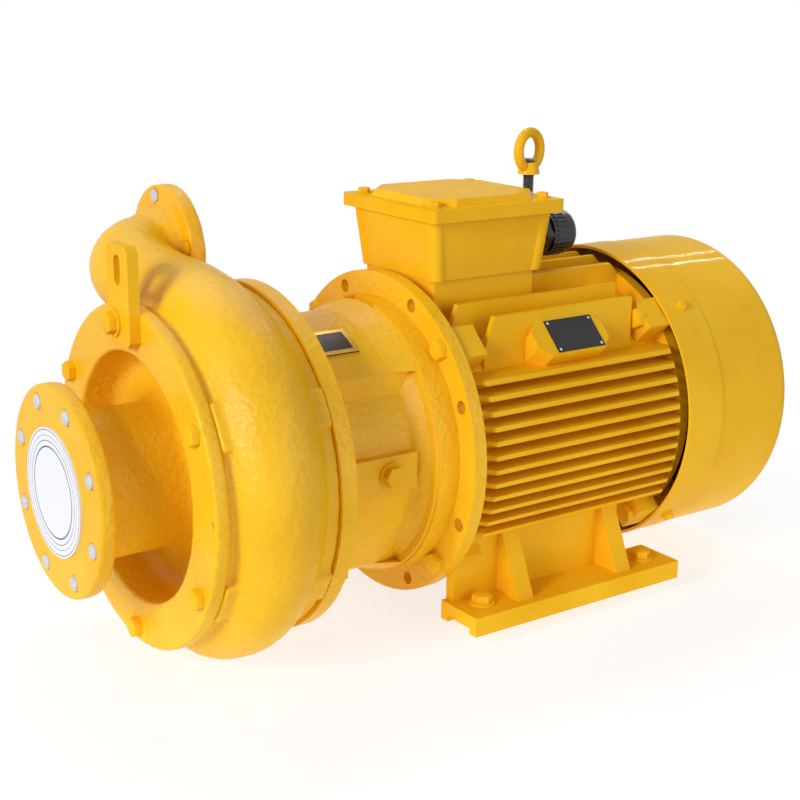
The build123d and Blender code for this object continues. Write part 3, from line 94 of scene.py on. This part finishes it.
def srgb(hex_code):
    """Linear RGBA of an sRGB hex value."""
    parts = [int(hex_code[i:i + 2], 16) / 255 for i in (1, 3, 5)]
    return [p / 12.92 if p <= 0.04045 else ((p + 0.055) / 1.055) ** 2.4 for p in parts] + [1.0]


def put(tree, kind, settings=(), links=()):
    """Add a node, fill its settings and sockets, and link its inputs."""
    node = tree.nodes.new(kind)
    for key, value in dict(settings).items():
        if isinstance(key, str) and key in node.bl_rna.properties:
            setattr(node, key, value)
        else:
            node.inputs[key].default_value = value
    for key, source in dict(links).items():
        tree.links.new(source, node.inputs[key])
    return node


def new_material(name):
    """Empty material and its node tree."""
    material = bpy.data.materials.new(name)
    material.use_nodes = True
    material.node_tree.nodes.clear()
    return material, material.node_tree


def yellow_enamel(name, skin_mm, skin_depth_mm, peel_depth_mm, rough, gloss):
    """Alkyd enamel sprayed on iron or steel: a thick gloss coat that keeps the skin of the metal below."""
    material, tree = new_material(name)
    where = put(tree, "ShaderNodeTexCoord")
    skin = put(tree, "ShaderNodeTexNoise", {"Scale": 1 / (skin_mm * MM), "Detail": 4.0, "Roughness": 0.55},
               {"Vector": where.outputs["Object"]})
    peel = put(tree, "ShaderNodeTexNoise", {"Scale": 1 / (PEEL_MM * MM), "Detail": 2.0},
               {"Vector": where.outputs["Object"]})
    cloud = put(tree, "ShaderNodeTexNoise", {"Scale": 1 / (CLOUD_MM * MM), "Detail": 3.0},
                {"Vector": where.outputs["Object"]})
    tint = put(tree, "ShaderNodeValToRGB", links={"Fac": cloud.outputs["Fac"]})
    tint.color_ramp.elements[0].position = 0.35
    tint.color_ramp.elements[0].color = srgb(DEEP_YELLOW)
    tint.color_ramp.elements[1].position = 0.65
    tint.color_ramp.elements[1].color = srgb(PALE_YELLOW)
    speck = put(tree, "ShaderNodeMapRange", {"From Min": 0.3, "From Max": 0.7, "To Min": rough - 0.04,
                                             "To Max": rough + 0.06}, {"Value": skin.outputs["Fac"]})
    low = put(tree, "ShaderNodeBump", {"Strength": 1.0, "Distance": skin_depth_mm * MM},
              {"Height": skin.outputs["Fac"]})
    fine = put(tree, "ShaderNodeBump", {"Strength": 1.0, "Distance": peel_depth_mm * MM},
               {"Height": peel.outputs["Fac"], "Normal": low.outputs["Normal"]})
    shader = put(tree, "ShaderNodeBsdfPrincipled",
                 {"IOR": 1.5, "Specular IOR Level": 0.0, "Coat Weight": gloss, "Coat Roughness": 0.07},
                 {"Base Color": tint.outputs["Color"], "Roughness": speck.outputs["Result"],
                  "Normal": fine.outputs["Normal"], "Coat Normal": fine.outputs["Normal"]})
    put(tree, "ShaderNodeOutputMaterial", links={"Surface": shader.outputs["BSDF"]})
    return material


def grained(name, dark, light, grain_mm, depth_mm, rough, metallic=0.0):
    """Moulded, cast or machined surface. Its grain is drawn coarser than it is, so that it shows."""
    material, tree = new_material(name)
    where = put(tree, "ShaderNodeTexCoord")
    grain = put(tree, "ShaderNodeTexNoise", {"Scale": 1 / (grain_mm * MM), "Detail": 4.0},
                {"Vector": where.outputs["Object"]})
    tint = put(tree, "ShaderNodeValToRGB", links={"Fac": grain.outputs["Fac"]})
    tint.color_ramp.elements[0].position = 0.3
    tint.color_ramp.elements[0].color = srgb(dark)
    tint.color_ramp.elements[1].position = 0.7
    tint.color_ramp.elements[1].color = srgb(light)
    gloss = put(tree, "ShaderNodeMapRange", {"To Min": rough - 0.05, "To Max": rough + 0.05},
                {"Value": grain.outputs["Fac"]})
    bump = put(tree, "ShaderNodeBump", {"Strength": 1.0, "Distance": depth_mm * MM},
               {"Height": grain.outputs["Fac"]})
    shader = put(tree, "ShaderNodeBsdfPrincipled", {"Metallic": metallic, "IOR": 1.5},
                 {"Base Color": tint.outputs["Color"], "Roughness": gloss.outputs["Result"],
                  "Normal": bump.outputs["Normal"]})
    put(tree, "ShaderNodeOutputMaterial", links={"Surface": shader.outputs["BSDF"]})
    return material


def ringed_cap():
    """White polyethylene disc, with thin dark moulded rings round the shaft line."""
    material, tree = new_material("white_polyethylene_cap")
    where = put(tree, "ShaderNodeTexCoord")
    split = put(tree, "ShaderNodeSeparateXYZ", links={"Vector": where.outputs["Object"]})
    drop = put(tree, "ShaderNodeMath", {"operation": "SUBTRACT", 1: SHAFT_Z}, {0: split.outputs["Z"]})
    flat = put(tree, "ShaderNodeCombineXYZ", links={"X": split.outputs["Y"], "Y": drop.outputs["Value"]})
    radius = put(tree, "ShaderNodeVectorMath", {"operation": "LENGTH"}, {0: flat.outputs["Vector"]})
    share = put(tree, "ShaderNodeMath", {"operation": "DIVIDE", 1: CAP_R}, {0: radius.outputs["Value"]})
    rings = put(tree, "ShaderNodeValToRGB", links={"Fac": share.outputs["Value"]})
    rings.color_ramp.interpolation = "CONSTANT"
    white, ink = srgb("#E9EBF3"), srgb("#2B2F45")
    rings.color_ramp.elements[0].color = white
    rings.color_ramp.elements[1].position = 0.965
    rings.color_ramp.elements[1].color = white
    for start, stop in ((0.680, 0.705), (0.780, 0.790), (0.860, 0.868), (0.945, 0.955)):
        rings.color_ramp.elements.new(start).color = ink
        rings.color_ramp.elements.new(stop).color = white
    grain = put(tree, "ShaderNodeTexNoise", {"Scale": 1 / (4 * MM), "Detail": 3.0},
                {"Vector": where.outputs["Object"]})
    bump = put(tree, "ShaderNodeBump", {"Strength": 1.0, "Distance": 0.05 * MM},
               {"Height": grain.outputs["Fac"]})
    shader = put(tree, "ShaderNodeBsdfPrincipled", {"Roughness": 0.35, "IOR": 1.5},
                 {"Base Color": rings.outputs["Color"], "Normal": bump.outputs["Normal"]})
    put(tree, "ShaderNodeOutputMaterial", links={"Surface": shader.outputs["BSDF"]})
    return material


# Enamel over sand-cast iron: wet gloss, broken up by the bumps of the mould
cast_enamel = yellow_enamel("enamel_on_rough_casting", skin_mm=9.0, skin_depth_mm=2.6, peel_depth_mm=0.03,
                            rough=0.24, gloss=0.40)
# Enamel over the finer motor casting: an even yellow with a faint gloss
frame_enamel = yellow_enamel("enamel_on_fine_casting", skin_mm=7.0, skin_depth_mm=0.18, peel_depth_mm=0.03,
                             rough=0.30, gloss=0.18)
# Enamel over rolled sheet: smooth, with long wavering highlights
sheet_enamel = yellow_enamel("enamel_on_rolled_sheet", skin_mm=60.0, skin_depth_mm=0.4, peel_depth_mm=0.03,
                             rough=0.15, gloss=0.28)
# Enamel over machined steel: crisp edges and small highlights
machined_enamel = yellow_enamel("enamel_on_machined_steel", skin_mm=9.0, skin_depth_mm=0.12,
                                peel_depth_mm=0.04, rough=0.22, gloss=0.20)

# Grained finishes: dark and light tint, grain and its depth in mm, roughness, and metallic for a metal
# Anodised plate: near black, with a dull sheen
black_plate = grained("black_anodised_aluminium", "#0C0C0D", "#1A1A1B", 2.0, 0.02, 0.40, 0.3)
# Brushed brass: a warm bright line
brass = grained("brushed_brass", "#9C7A34", "#C7A457", 1.5, 0.02, 0.35, 1.0)
# Aluminium rivets: pale bright dots
rivet_metal = grained("bright_aluminium_rivet", "#9B9B9C", "#C9C9CA", 1.5, 0.02, 0.35, 1.0)
# Moulded nylon: black with clear highlights
black_nylon = grained("black_nylon_moulding", "#0E0E10", "#1A1A1D", 2.0, 0.03, 0.25)
# Moulded polyethylene: milky grey with soft highlights
plug_plastic = grained("grey_polyethylene_plug", "#B9B9BD", "#D5D5D8", 5.0, 0.05, 0.45)
# Plated steel: mid grey metal without a mirror
plated_steel = grained("dull_plated_steel", "#5C5D60", "#828387", 2.0, 0.03, 0.40, 0.9)
# Hard cast iron: dark grey and sandy
wear_iron = grained("high_chrome_cast_iron", "#58595C", "#76777A", 3.0, 0.25, 0.55, 0.7)
# Turned steel: bright, with fine marks of the tool
turned_steel = grained("turned_steel", "#A6A7AA", "#C4C5C8", 1.2, 0.02, 0.30, 1.0)
# Stacked core sheets: dark grey with a fine grain
core_steel = grained("laminated_core_steel", "#5A5B5E", "#77787B", 0.8, 0.05, 0.45, 0.9)
# Varnished copper wire: reddish brown and uneven
copper = grained("varnished_copper_winding", "#7A3D1D", "#A35A2C", 2.5, 0.30, 0.40, 0.6)
# Pressed carbon: near black and even
carbon = grained("pressed_carbon", "#18181A", "#2A2A2C", 1.0, 0.02, 0.40)
# Gasket rubber: black and matt
rubber = grained("black_gasket_rubber", "#141415", "#202022", 2.0, 0.05, 0.70)
# Moulded cap: white with thin dark rings
cap_white = ringed_cap()

finishes = {
    cast_enamel: ["volute_casing", "suction_cover", "lantern_bracket"],
    frame_enamel: ["motor_frame", "end_shield", "terminal_box", "terminal_lid", "lifting_bar", "eye_nut"],
    sheet_enamel: ["fan_cowl"],
    machined_enamel: ["cover_bolts", "lantern_bolts", "lantern_plug", "flange_bolts", "shield_bolts",
                      "cowl_screws", "lid_bolts"],
    black_plate: ["motor_nameplate", "lantern_plate"],
    black_nylon: ["cable_gland", "terminal_board", "cooling_fan"],
    plated_steel: ["eye_stud"],
    wear_iron: ["throat_liner", "back_plate", "impeller", "seal_gland", "bearing_cover"],
    turned_steel: ["pump_shaft", "shaft_sleeve", "drive_bearing_inner", "fan_bearing_inner",
                   "drive_bearing_outer", "fan_bearing_outer", "terminal_studs"],
    core_steel: ["stator_core", "rotor_core"],
    copper: ["stator_windings"],
    carbon: ["seal_ring"],
    rubber: ["terminal_gasket"],
    cap_white: ["suction_cap"],
}
for material, names in finishes.items():
    for name in names:
        nodes[name].data.materials.clear()
        nodes[name].data.materials.append(material)


# Piece helpers

def place(bm, name, material, body="pump", sharp=35):
    """Close a bmesh into a piece that rides on a body."""
    bmesh.ops.recalc_face_normals(bm, faces=bm.faces)
    mesh = bpy.data.meshes.new(name)
    bm.to_mesh(mesh)
    bm.free()
    mesh.shade_smooth()
    mesh.set_sharp_from_angle(angle=radians(sharp))
    mesh.materials.append(material)
    piece = bpy.data.objects.new(name, mesh)
    bpy.context.scene.collection.objects.link(piece)
    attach(piece, body)
    return piece


def facing(spot, direction):
    """Matrix that puts +Z of a shape along a direction at a spot."""
    return Matrix.Translation(spot) @ Vector(direction).to_track_quat("Z", "Y").to_matrix().to_4x4()


def around(x, radius, count, first):
    """Spots on a bolt circle round the shaft."""
    angles = [radians(first + 360 / count * k) for k in range(count)]
    return [(x, radius * cos(a), SHAFT_Z + radius * sin(a)) for a in angles]


def span(node, *axes):
    """Least and greatest reach of a node along each axis."""
    points = [v.co for v in nodes[node].data.vertices]
    return [(min(p.dot(axis) for p in points), max(p.dot(axis) for p in points)) for axis in axes]


def joined_to(verts):
    """The given vertices and all those that edges join to them."""
    found = dict.fromkeys(verts)
    grow = list(found)
    while grow:
        for edge in grow.pop().link_edges:
            for v in edge.verts:
                if v not in found:
                    found[v] = None
                    grow.append(v)
    return list(found)


def lathe(bm, profile, steps, matrix):
    """Turn a (radius, height) profile about +Z of a matrix."""
    ring = [bm.verts.new((r, 0, z)) for r, z in profile]
    edges = [bm.edges.new(pair) for pair in zip(ring, ring[1:])]
    bmesh.ops.spin(bm, geom=ring + edges, cent=(0, 0, 0), axis=(0, 0, 1), angle=2 * pi, steps=steps,
                   use_merge=True)
    skin = joined_to(ring)
    bmesh.ops.remove_doubles(bm, verts=skin, dist=1e-6)
    bmesh.ops.transform(bm, matrix=matrix, verts=[v for v in skin if v.is_valid])


HEAD_CHAMFER = 0.16         # share of the head's height
WASHER_RIM = 0.72           # radius, as a share of the width across flats


def hex_head(bm, matrix, across, height, shank, grip, washer=0.0):
    """Hex bolt with a chamfered head, a washer where it has a thickness, and a shank."""
    made = bmesh.ops.create_circle(bm, cap_ends=True, segments=6, radius=across / sqrt(3))
    foot = made["verts"][0].link_faces[0]
    bmesh.ops.transform(bm, matrix=Matrix.Translation((0, 0, washer)), verts=foot.verts[:])
    top = bmesh.ops.extrude_face_region(bm, geom=[foot])
    lifted = [v for v in top["geom"] if isinstance(v, bmesh.types.BMVert)]
    bmesh.ops.translate(bm, vec=(0, 0, height), verts=lifted)
    crown = [f for f in top["geom"] if isinstance(f, bmesh.types.BMFace)][0]
    bmesh.ops.bevel(bm, geom=crown.edges[:], offset=height * HEAD_CHAMFER, offset_type="OFFSET", segments=2,
                    profile=0.5, affect="EDGES", material=-1)
    bmesh.ops.transform(bm, matrix=matrix, verts=joined_to(v for v in made["verts"] if v.is_valid))
    if washer:
        rim = across * WASHER_RIM
        lathe(bm, [(shank / 2, 0), (rim, 0), (rim, washer), (shank / 2, washer)], steps=32, matrix=matrix)
    lathe(bm, [(0, -grip), (shank / 2, -grip), (shank / 2, washer), (0, washer)], steps=20, matrix=matrix)


# Transit plugs in the holes of both pipe flanges, as (radius, height) from the flange face

SUCTION_PLUG = [(0, 0.0026), (0.0055, 0.0024), (0.0085, 0.0010), (0.0092, 0), (0.0092, -0.019), (0, -0.019)]
DISCHARGE_PLUG = [(0, 0.0026), (0.0085, 0.0012), (0.0092, 0), (0.0092, -0.023), (0.0080, -0.0245),
                  (0, -0.025)]
PLUG_STEPS = 24

bm = bmesh.new()
for spot in around(X_SUCTION, *SUCTION_HOLES):
    lathe(bm, SUCTION_PLUG, PLUG_STEPS, facing(spot, (-1, 0, 0)))
place(bm, "suction_transit_plugs", plug_plastic)

for name, material, slot, turns in (("discharge_transit_plugs", plug_plastic, "white_plastic", (78, 258, 348)),
                                    ("painted_transit_plug", machined_enamel, "yellow_paint", (168,))):
    bm = bmesh.new()
    for turn in turns:
        spot = (X_DISCHARGE, Y_DISCHARGE + DISCHARGE_BOLT_R * cos(radians(turn)),
                Z_DISCHARGE + DISCHARGE_BOLT_R * sin(radians(turn)))
        lathe(bm, DISCHARGE_PLUG, PLUG_STEPS, facing(spot, (1, 0, 0)))
    place(bm, name, material)

# Foot bolts with washers

FOOT_GRIP = 0.024
bm = bmesh.new()
for sx in (-1, 1):
    for sy in (-1, 1):
        hex_head(bm, facing((sx * FOOT_X, sy * FOOT_Y, FOOT_T), (0, 0, 1)), *FLANGE_BOLT, FOOT_GRIP,
                 FLANGE_WASHER_T)
place(bm, "foot_bolts", machined_enamel)


# Hex bolts with chamfered heads, in place of the plain ones

COVER_GRIP, LANTERN_GRIP, FLANGE_GRIP, SHIELD_GRIP = 0.035, 0.037, 0.036, 0.054
LID_GRIP, COWL_GRIP = 0.035, 0.0135
BAR_BOLT = 1                # the top cover bolt, which holds the lifting bar

bm = bmesh.new()
for k, (_, y, z) in enumerate(around(X_COVER, *COVER_HOLES)):
    bar, washer = (BAR_T, FLANGE_WASHER_T) if k == BAR_BOLT else (0.0, 0.0)
    hex_head(bm, facing((X_COVER - bar, y, z), (-1, 0, 0)), *FLANGE_BOLT, bar + COVER_GRIP, washer)
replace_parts(place(bm, "cover_hex_bolts", machined_enamel), "cover_bolts")

for kind, x, holes, way, grip in (
        ("lantern", X_LANTERN + LANTERN_FRONT_T, LANTERN_HOLES, 1, LANTERN_GRIP),
        ("flange", X_FRAME - LANTERN_REAR_T, LUG_HOLES, -1, FLANGE_GRIP),
        ("shield", X_FRAME_END - LUG_L, LUG_HOLES, -1, SHIELD_GRIP)):
    bm = bmesh.new()
    for spot in around(x, *holes):
        hex_head(bm, facing(spot, (way, 0, 0)), *FLANGE_BOLT, grip)
    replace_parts(place(bm, kind + "_hex_bolts", machined_enamel), kind + "_bolts")

bm = bmesh.new()
for x in LID_BOLT_X:
    for y in (-LID_BOLT_Y, LID_BOLT_Y):
        hex_head(bm, facing((x, y, LID_TOP), (0, 0, 1)), *LID_BOLT, LID_GRIP, LID_WASHER_T)
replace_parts(place(bm, "lid_hex_bolts", machined_enamel), "lid_bolts")

bm = bmesh.new()
for x, y, z in around(X_COWL_SCREW, *COWL_HOLES):
    hex_head(bm, facing((x, y, z), (0, y, z - SHAFT_Z)), *COWL_SCREW, COWL_GRIP, COWL_WASHER_T)
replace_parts(place(bm, "cowl_hex_screws", machined_enamel), "cowl_screws")


# Plates: rivets on the motor plate, and a brass edge on the lantern plate

ALONG, ACROSS, UP = Vector((1, 0, 0)), Vector((0, 1, 0)), Vector((0, 0, 1))
UP_PAD, OUT_PAD = Vector((0, 1, 1)).normalized(), Vector((0, -1, 1)).normalized()
RIVET_INSET = 0.0042
RIVET = [(0, 0.0012), (0.00126, 0.0009), (0.0021, 0), (0.0021, -0.0008), (0, -0.0008)]
(left, right), (low, high), (_, skin) = span("motor_nameplate", ALONG, UP_PAD, OUT_PAD)
bm = bmesh.new()
for a in (left + RIVET_INSET, right - RIVET_INSET):
    for u in (low + RIVET_INSET, high - RIVET_INSET):
        lathe(bm, RIVET, steps=16, matrix=facing(ALONG * a + UP_PAD * u + OUT_PAD * skin, OUT_PAD))
place(bm, "nameplate_rivets", rivet_metal)

EDGE_W, EDGE_T, EDGE_STEPS = 0.0060, 0.0005, 16
plate = [(v.co.x, atan2(v.co.z - SHAFT_Z, v.co.y), hypot(v.co.y, v.co.z - SHAFT_Z))
         for v in nodes["lantern_plate"].data.vertices]
(x_low, x_high), (turn_low, turn_high), (_, skin) = [(min(values), max(values)) for values in zip(*plate)]
edge_turn = EDGE_W / skin
columns = [x_low, x_low + EDGE_W, x_high - EDGE_W, x_high]
window_turn = turn_high - turn_low - 2 * edge_turn
inner = [turn_low + edge_turn + window_turn * k / EDGE_STEPS for k in range(EDGE_STEPS + 1)]
rows = [turn_low] + inner + [turn_high]
bm = bmesh.new()
net = [[bm.verts.new((x, skin * cos(t), SHAFT_Z + skin * sin(t))) for t in rows] for x in columns]
for i in range(len(columns) - 1):
    for j in range(len(rows) - 1):
        if i != 1 or j in (0, len(rows) - 2):
            bm.faces.new((net[i][j], net[i][j + 1], net[i + 1][j + 1], net[i + 1][j]))
bmesh.ops.delete(bm, geom=[v for v in bm.verts if not v.link_faces], context="VERTS")
bmesh.ops.solidify(bm, geom=bm.faces[:], thickness=-EDGE_T)
place(bm, "lantern_plate_edge", brass)

# Threaded eye stud, in place of the plain one

THREAD_PITCH, THREAD_DEPTH = 0.0024, 0.0014
(left, right), (near, far), (low, high) = span("eye_stud", ALONG, ACROSS, UP)
crest = (right - left) / 2
root = crest - THREAD_DEPTH
profile = [(0, low), (root, low)]
for k in range(int((high - low) / THREAD_PITCH)):
    profile += [(crest, low + THREAD_PITCH * (k + 0.5)), (root, low + THREAD_PITCH * (k + 1))]
profile += [(root, high), (0, high)]
bm = bmesh.new()
lathe(bm, profile, steps=24, matrix=Matrix.Translation(((left + right) / 2, (near + far) / 2, 0)))
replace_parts(place(bm, "threaded_eye_stud", plated_steel, sharp=80), "eye_stud")

# Grip ribs round the dome of the cable gland

RIBS, RIB_L, RIB_T, RIB_END, RIB_SINK = 28, 0.020, 0.0034, 0.018, 0.0006
(_, right), (near, far), (low, high) = span("cable_gland", ALONG, ACROSS, UP)
hub = Matrix.Translation((right - RIB_END - RIB_L / 2, (near + far) / 2, (low + high) / 2))
lift = Matrix.Translation((0, 0, (high - low) / 2 - RIB_SINK))
bm = bmesh.new()
for k in range(RIBS):
    spin = Matrix.Rotation(2 * pi * k / RIBS, 4, "X") @ lift
    bmesh.ops.create_cube(bm, size=1, matrix=hub @ spin @ Matrix.Diagonal((RIB_L, RIB_T, RIB_T, 1)))
place(bm, "gland_grip_ribs", black_nylon)


# Rough castings: copies of the solids with rounded corners and an uneven skin

LUMP_WIDE, LUMP_FINE = 0.016, 0.007
SMOOTH_ROUNDS = 2


def cast_copy(node, name, voxel, lump):
    """Remesh a copy of a solid to round its corners, and roughen it, apart from faces square to the shaft."""
    bm = bmesh.new()
    bm.from_mesh(nodes[node].data)
    bmesh.ops.remove_doubles(bm, verts=bm.verts, dist=1e-6)
    mesh = bpy.data.meshes.new(name)
    bm.to_mesh(mesh)
    bm.free()
    blank = bpy.data.objects.new(name + "_blank", mesh)
    bpy.context.scene.collection.objects.link(blank)
    cubes = blank.modifiers.new("cubes", "REMESH")
    cubes.mode = "VOXEL"
    cubes.voxel_size = voxel
    soft = blank.modifiers.new("soft", "SMOOTH")
    soft.factor = 0.5
    soft.iterations = SMOOTH_ROUNDS
    made = bpy.data.meshes.new_from_object(blank.evaluated_get(bpy.context.evaluated_depsgraph_get()))
    bpy.data.objects.remove(blank)
    bm = bmesh.new()
    bm.from_mesh(made)
    bm.normal_update()
    for v in bm.verts:
        cast = 1 - abs(v.normal.x) ** 6
        rough = noise.noise(v.co / LUMP_WIDE) + 0.5 * noise.noise(v.co / LUMP_FINE)
        v.co += v.normal * (rough * cast * lump)
    return place(bm, name, cast_enamel, sharp=60)


for node, voxel, lump in (("volute_casing", 0.0032, 0.0006), ("suction_cover", 0.0029, 0.0004)):
    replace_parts(cast_copy(node, node + "_casting", voxel, lump), node)


# Camera, floor and light

def look(azimuth, elevation, roll, distance, target, lens):
    """Camera at a distance from a target, with its roll about the view line."""
    a, e, r = radians(azimuth), radians(elevation), radians(roll)
    back = Vector((sin(a) * cos(e), -cos(a) * cos(e), sin(e)))
    right = Vector((cos(a), sin(a), 0))
    up = back.cross(right)
    right, up = right * cos(r) + up * sin(r), up * cos(r) - right * sin(r)
    data = bpy.data.cameras.new("photo_camera")
    data.lens = lens
    data.sensor_width = 36
    data.clip_end = 30
    camera = bpy.data.objects.new("photo_camera", data)
    turn = Matrix((right, up, back)).transposed().to_4x4()
    camera.matrix_world = Matrix.Translation(Vector(target) + back * distance) @ turn
    bpy.context.scene.collection.objects.link(camera)
    bpy.context.scene.camera = camera


look(azimuth=-35.35, elevation=15.67, roll=0.67, distance=2.01225, target=(-0.1527, 0, 0.26252), lens=66.4)

# White paper that glows a little and fades out: it shows the shadow near the pump and nothing far from it
FLOOR_MIDDLE, FADE_START, FADE_END, FLOOR_DROP, FLOOR_SIZE = (-0.13, 0, 0), 0.55, 1.15, 0.0005, 12
pale, tree = new_material("pale_studio_floor")
where = put(tree, "ShaderNodeTexCoord")
centred = put(tree, "ShaderNodeVectorMath", {"operation": "SUBTRACT", 1: FLOOR_MIDDLE},
              {0: where.outputs["Object"]})
reach = put(tree, "ShaderNodeVectorMath", {"operation": "LENGTH"}, {0: centred.outputs["Vector"]})
fade = put(tree, "ShaderNodeMapRange",
           {"interpolation_type": "SMOOTHSTEP", "From Min": FADE_START, "From Max": FADE_END},
           {"Value": reach.outputs["Value"]})
paper = put(tree, "ShaderNodeBsdfDiffuse", {"Color": srgb("#FFFFFF")})
glow = put(tree, "ShaderNodeEmission", {"Color": srgb("#FFFFFF"), "Strength": 1.1})
lit = put(tree, "ShaderNodeMixShader", {"Fac": 0.68}, {1: paper.outputs["BSDF"], 2: glow.outputs["Emission"]})
clear = put(tree, "ShaderNodeBsdfTransparent")
blend = put(tree, "ShaderNodeMixShader",
            links={"Fac": fade.outputs["Result"], 1: lit.outputs["Shader"], 2: clear.outputs["BSDF"]})
put(tree, "ShaderNodeOutputMaterial", links={"Surface": blend.outputs["Shader"]})
bm = bmesh.new()
bmesh.ops.create_grid(bm, x_segments=1, y_segments=1, size=FLOOR_SIZE)
bmesh.ops.translate(bm, vec=(0, 0, cad_box[0][2] - FLOOR_DROP), verts=bm.verts)
mesh = bpy.data.meshes.new("studio_floor")
bm.to_mesh(mesh)
bm.free()
mesh.materials.append(pale)
floor = bpy.data.objects.new("studio_floor", mesh)
bpy.context.scene.collection.objects.link(floor)


def softbox(name, spot, target, size, power, depth=0.0):
    """Square area lamp that faces a target, or a strip along X where it has a depth."""
    data = bpy.data.lights.new(name, "AREA")
    data.shape = "RECTANGLE" if depth else "SQUARE"
    data.size = size
    data.size_y = depth or size
    data.energy = power
    lamp = bpy.data.objects.new(name, data)
    lamp.matrix_world = facing(spot, Vector(spot) - Vector(target))
    bpy.context.scene.collection.objects.link(lamp)


middle = (-0.1, 0, 0.25)
volute_crown = (-0.46, -0.1, 0.35)
softbox("key_softbox", (-5.0, -1.4, 1.9), middle, size=2.2, power=160)
softbox("fill_softbox", (0.7, -2.9, 0.9), middle, size=2.0, power=22)
for name, y in (("strip_near", 0.9), ("strip_far", 1.4)):
    softbox(name, (1.0, y, 2.3), (1.0, 0, 0.25), size=4.0, power=15, depth=0.03)
softbox("glint_lamp", (-3.0, -0.87, 1.76), volute_crown, size=0.20, power=14)

# White world for what the camera and mirrors see, and a weaker one that lights the pump
world = bpy.data.worlds.new("studio_world")
bpy.context.scene.world = world
world.use_nodes = True
tree = world.node_tree
tree.nodes.clear()
rays = put(tree, "ShaderNodeLightPath")
passed = put(tree, "ShaderNodeMath", {"operation": "MAXIMUM"},
             {0: rays.outputs["Is Glossy Ray"], 1: rays.outputs["Is Transmission Ray"]})
seen = put(tree, "ShaderNodeMath", {"operation": "MAXIMUM"},
           {0: rays.outputs["Is Camera Ray"], 1: passed.outputs["Value"]})
ambient = put(tree, "ShaderNodeBackground", {"Color": srgb("#FFFFFF"), "Strength": 0.30})
white = put(tree, "ShaderNodeBackground", {"Color": srgb("#FFFFFF"), "Strength": 1.0})
mixed = put(tree, "ShaderNodeMixShader",
            links={"Fac": seen.outputs["Value"], 1: ambient.outputs["Background"],
                   2: white.outputs["Background"]})
put(tree, "ShaderNodeOutputWorld", links={"Surface": mixed.outputs["Shader"]})
bpy.context.scene.view_settings.view_transform = "Standard"
